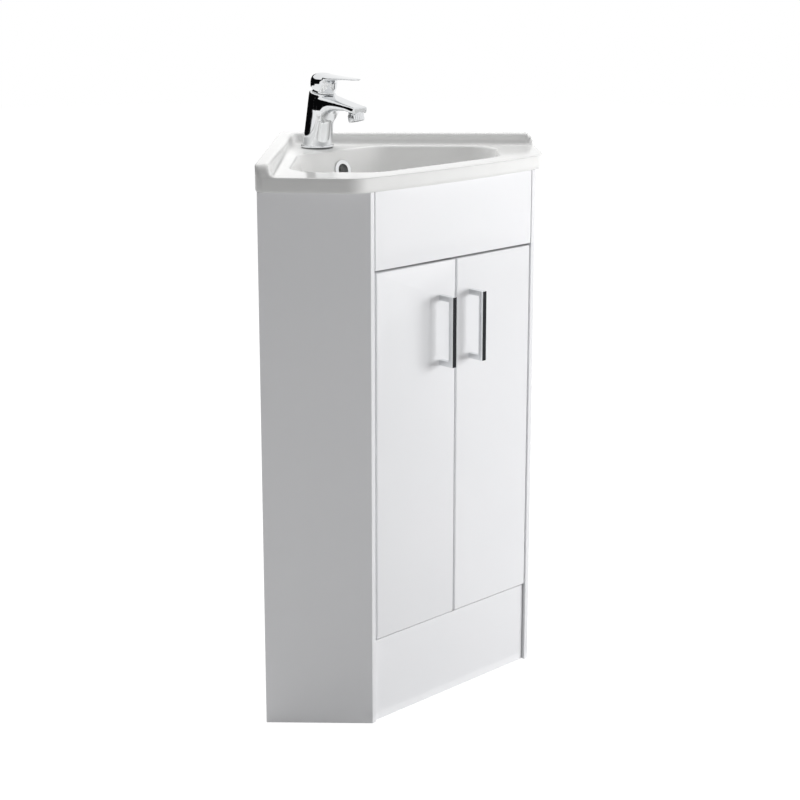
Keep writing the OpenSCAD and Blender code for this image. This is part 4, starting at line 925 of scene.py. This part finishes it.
# ---- Tap fixing ----
# Under the deck, a brass stud hangs from the tap's foot, and a horseshoe plate and a nut on it
# pull the tap down on its rubber ring.
for part in ("tap_stud", "stud_plate", "stud_nut"):
    eased(part, "brass", 0.3, brass, "cabinet", "brass")

# ---- Room ----
# A plain pale floor that keeps the unit's shadow, white all round, one broad soft lamp low at the
# front right and a smaller one high behind. Dark boards, and a smoky one on the floor in front,
# are seen only in mirrors and give the chrome its dark bands.
def card(name, corners, finish):
    """A flat board of the studio, given by its corners."""
    mesh = bpy.data.meshes.new(name)
    mesh.from_pydata(corners, [], [range(len(corners))])
    mesh.materials.append(finish)
    made = bpy.data.objects.new(name, mesh)
    bpy.context.scene.collection.objects.link(made)


def looked_at(tree):
    """One for what is seen straight, in a mirror or through glass; nought for other light."""
    seen_by = add(tree, "ShaderNodeLightPath").outputs
    direct = seen_by["Is Camera Ray"]
    for way in ("Is Glossy Ray", "Is Transmission Ray"):
        direct = add(tree, "ShaderNodeMath", {0: direct, 1: seen_by[way]}, operation="MAXIMUM")
    return direct


floor_paint = bpy.data.materials.new("white_studio_floor")
tree = emptied(floor_paint)
share = add(tree, "ShaderNodeMath", {0: looked_at(tree), 1: 0.84}, operation="MULTIPLY")
matt = add(tree, "ShaderNodeBsdfDiffuse", {"Color": srgb("#E6E6E6")})
bright = add(tree, "ShaderNodeEmission", {"Color": srgb("#FFFFFF"), "Strength": 1.16})
both = add(tree, "ShaderNodeMixShader", {0: share, 1: matt, 2: bright})
add(tree, "ShaderNodeOutputMaterial", {0: both})
card("floor", [(9 * cos(k * pi / 24), 9 * sin(k * pi / 24), 0) for k in range(48)], floor_paint)

world = bpy.data.worlds.new("white_room")
bpy.context.scene.world = world
tree = emptied(world)
strength = add(tree, "ShaderNodeMapRange", {0: looked_at(tree), 3: 0.285, 4: 1.0})
sky = add(tree, "ShaderNodeBackground", {"Color": srgb("#FFFFFF"), "Strength": strength})
add(tree, "ShaderNodeOutputWorld", {0: sky})


def lamp(name, place, aim, size, power):
    """A square soft lamp that looks from its place towards its aim, not seen in mirrors."""
    light = bpy.data.lights.new(name, "AREA")
    light.shape = "SQUARE"
    light.size = size
    light.energy = power
    made = bpy.data.objects.new(name, light)
    made.location = place
    made.rotation_euler = (Vector(aim) - Vector(place)).to_track_quat("-Z", "Y").to_euler()
    made.visible_glossy = False
    bpy.context.scene.collection.objects.link(made)


lamp("front_right_lamp", (2.7, -2.7, 0.6), (0, 0, 0.45), 2.2, 147)
lamp("top_rear_lamp", (0.5, 1.15, 2.7), (0, 0, 0.8), 1.6, 51)

bpy.context.scene.view_settings.view_transform = "Standard"


def mirror_card(name, code):
    """A card's finish that only mirrors see, in one dark colour."""
    made = bpy.data.materials.new(name)
    tree = emptied(made)
    seen_by = add(tree, "ShaderNodeLightPath")
    hole = add(tree, "ShaderNodeBsdfTransparent")
    tint = add(tree, "ShaderNodeEmission", {"Color": srgb(code), "Strength": 1.0})
    both = add(tree, "ShaderNodeMixShader", {
        0: seen_by.outputs["Is Glossy Ray"], 1: hole, 2: tint})
    add(tree, "ShaderNodeOutputMaterial", {0: both})
    return made


dark = mirror_card("dark_studio_card", "#0A0A0B")
smoky = mirror_card("smoky_studio_card", "#3C3C3E")


def dark_wall(name, turns, away, low, high):
    """An upright dark card seen only in mirrors, bent round the unit between compass turns."""
    for k, (a, b) in enumerate(zip(turns, turns[1:])):
        ends = [Vector((sin(radians(c)), cos(radians(c)), 0)) * away for c in (a, b)]
        card(f"{name}_{k}", [ends[0] + Vector((0, 0, low)), ends[1] + Vector((0, 0, low)),
                             ends[1] + Vector((0, 0, high)), ends[0] + Vector((0, 0, high))], dark)


dark_wall("dark_wall_left_rear", range(262, 405, 13), 3.4, 0.35, 2.4)
card("smoky_floor_front", [(x, y, 0.002) for x, y in ((-0.2, -0.19), (0.9, -2.9), (2.9, -2.9),
                                                      (2.9, -0.19))], smoky)
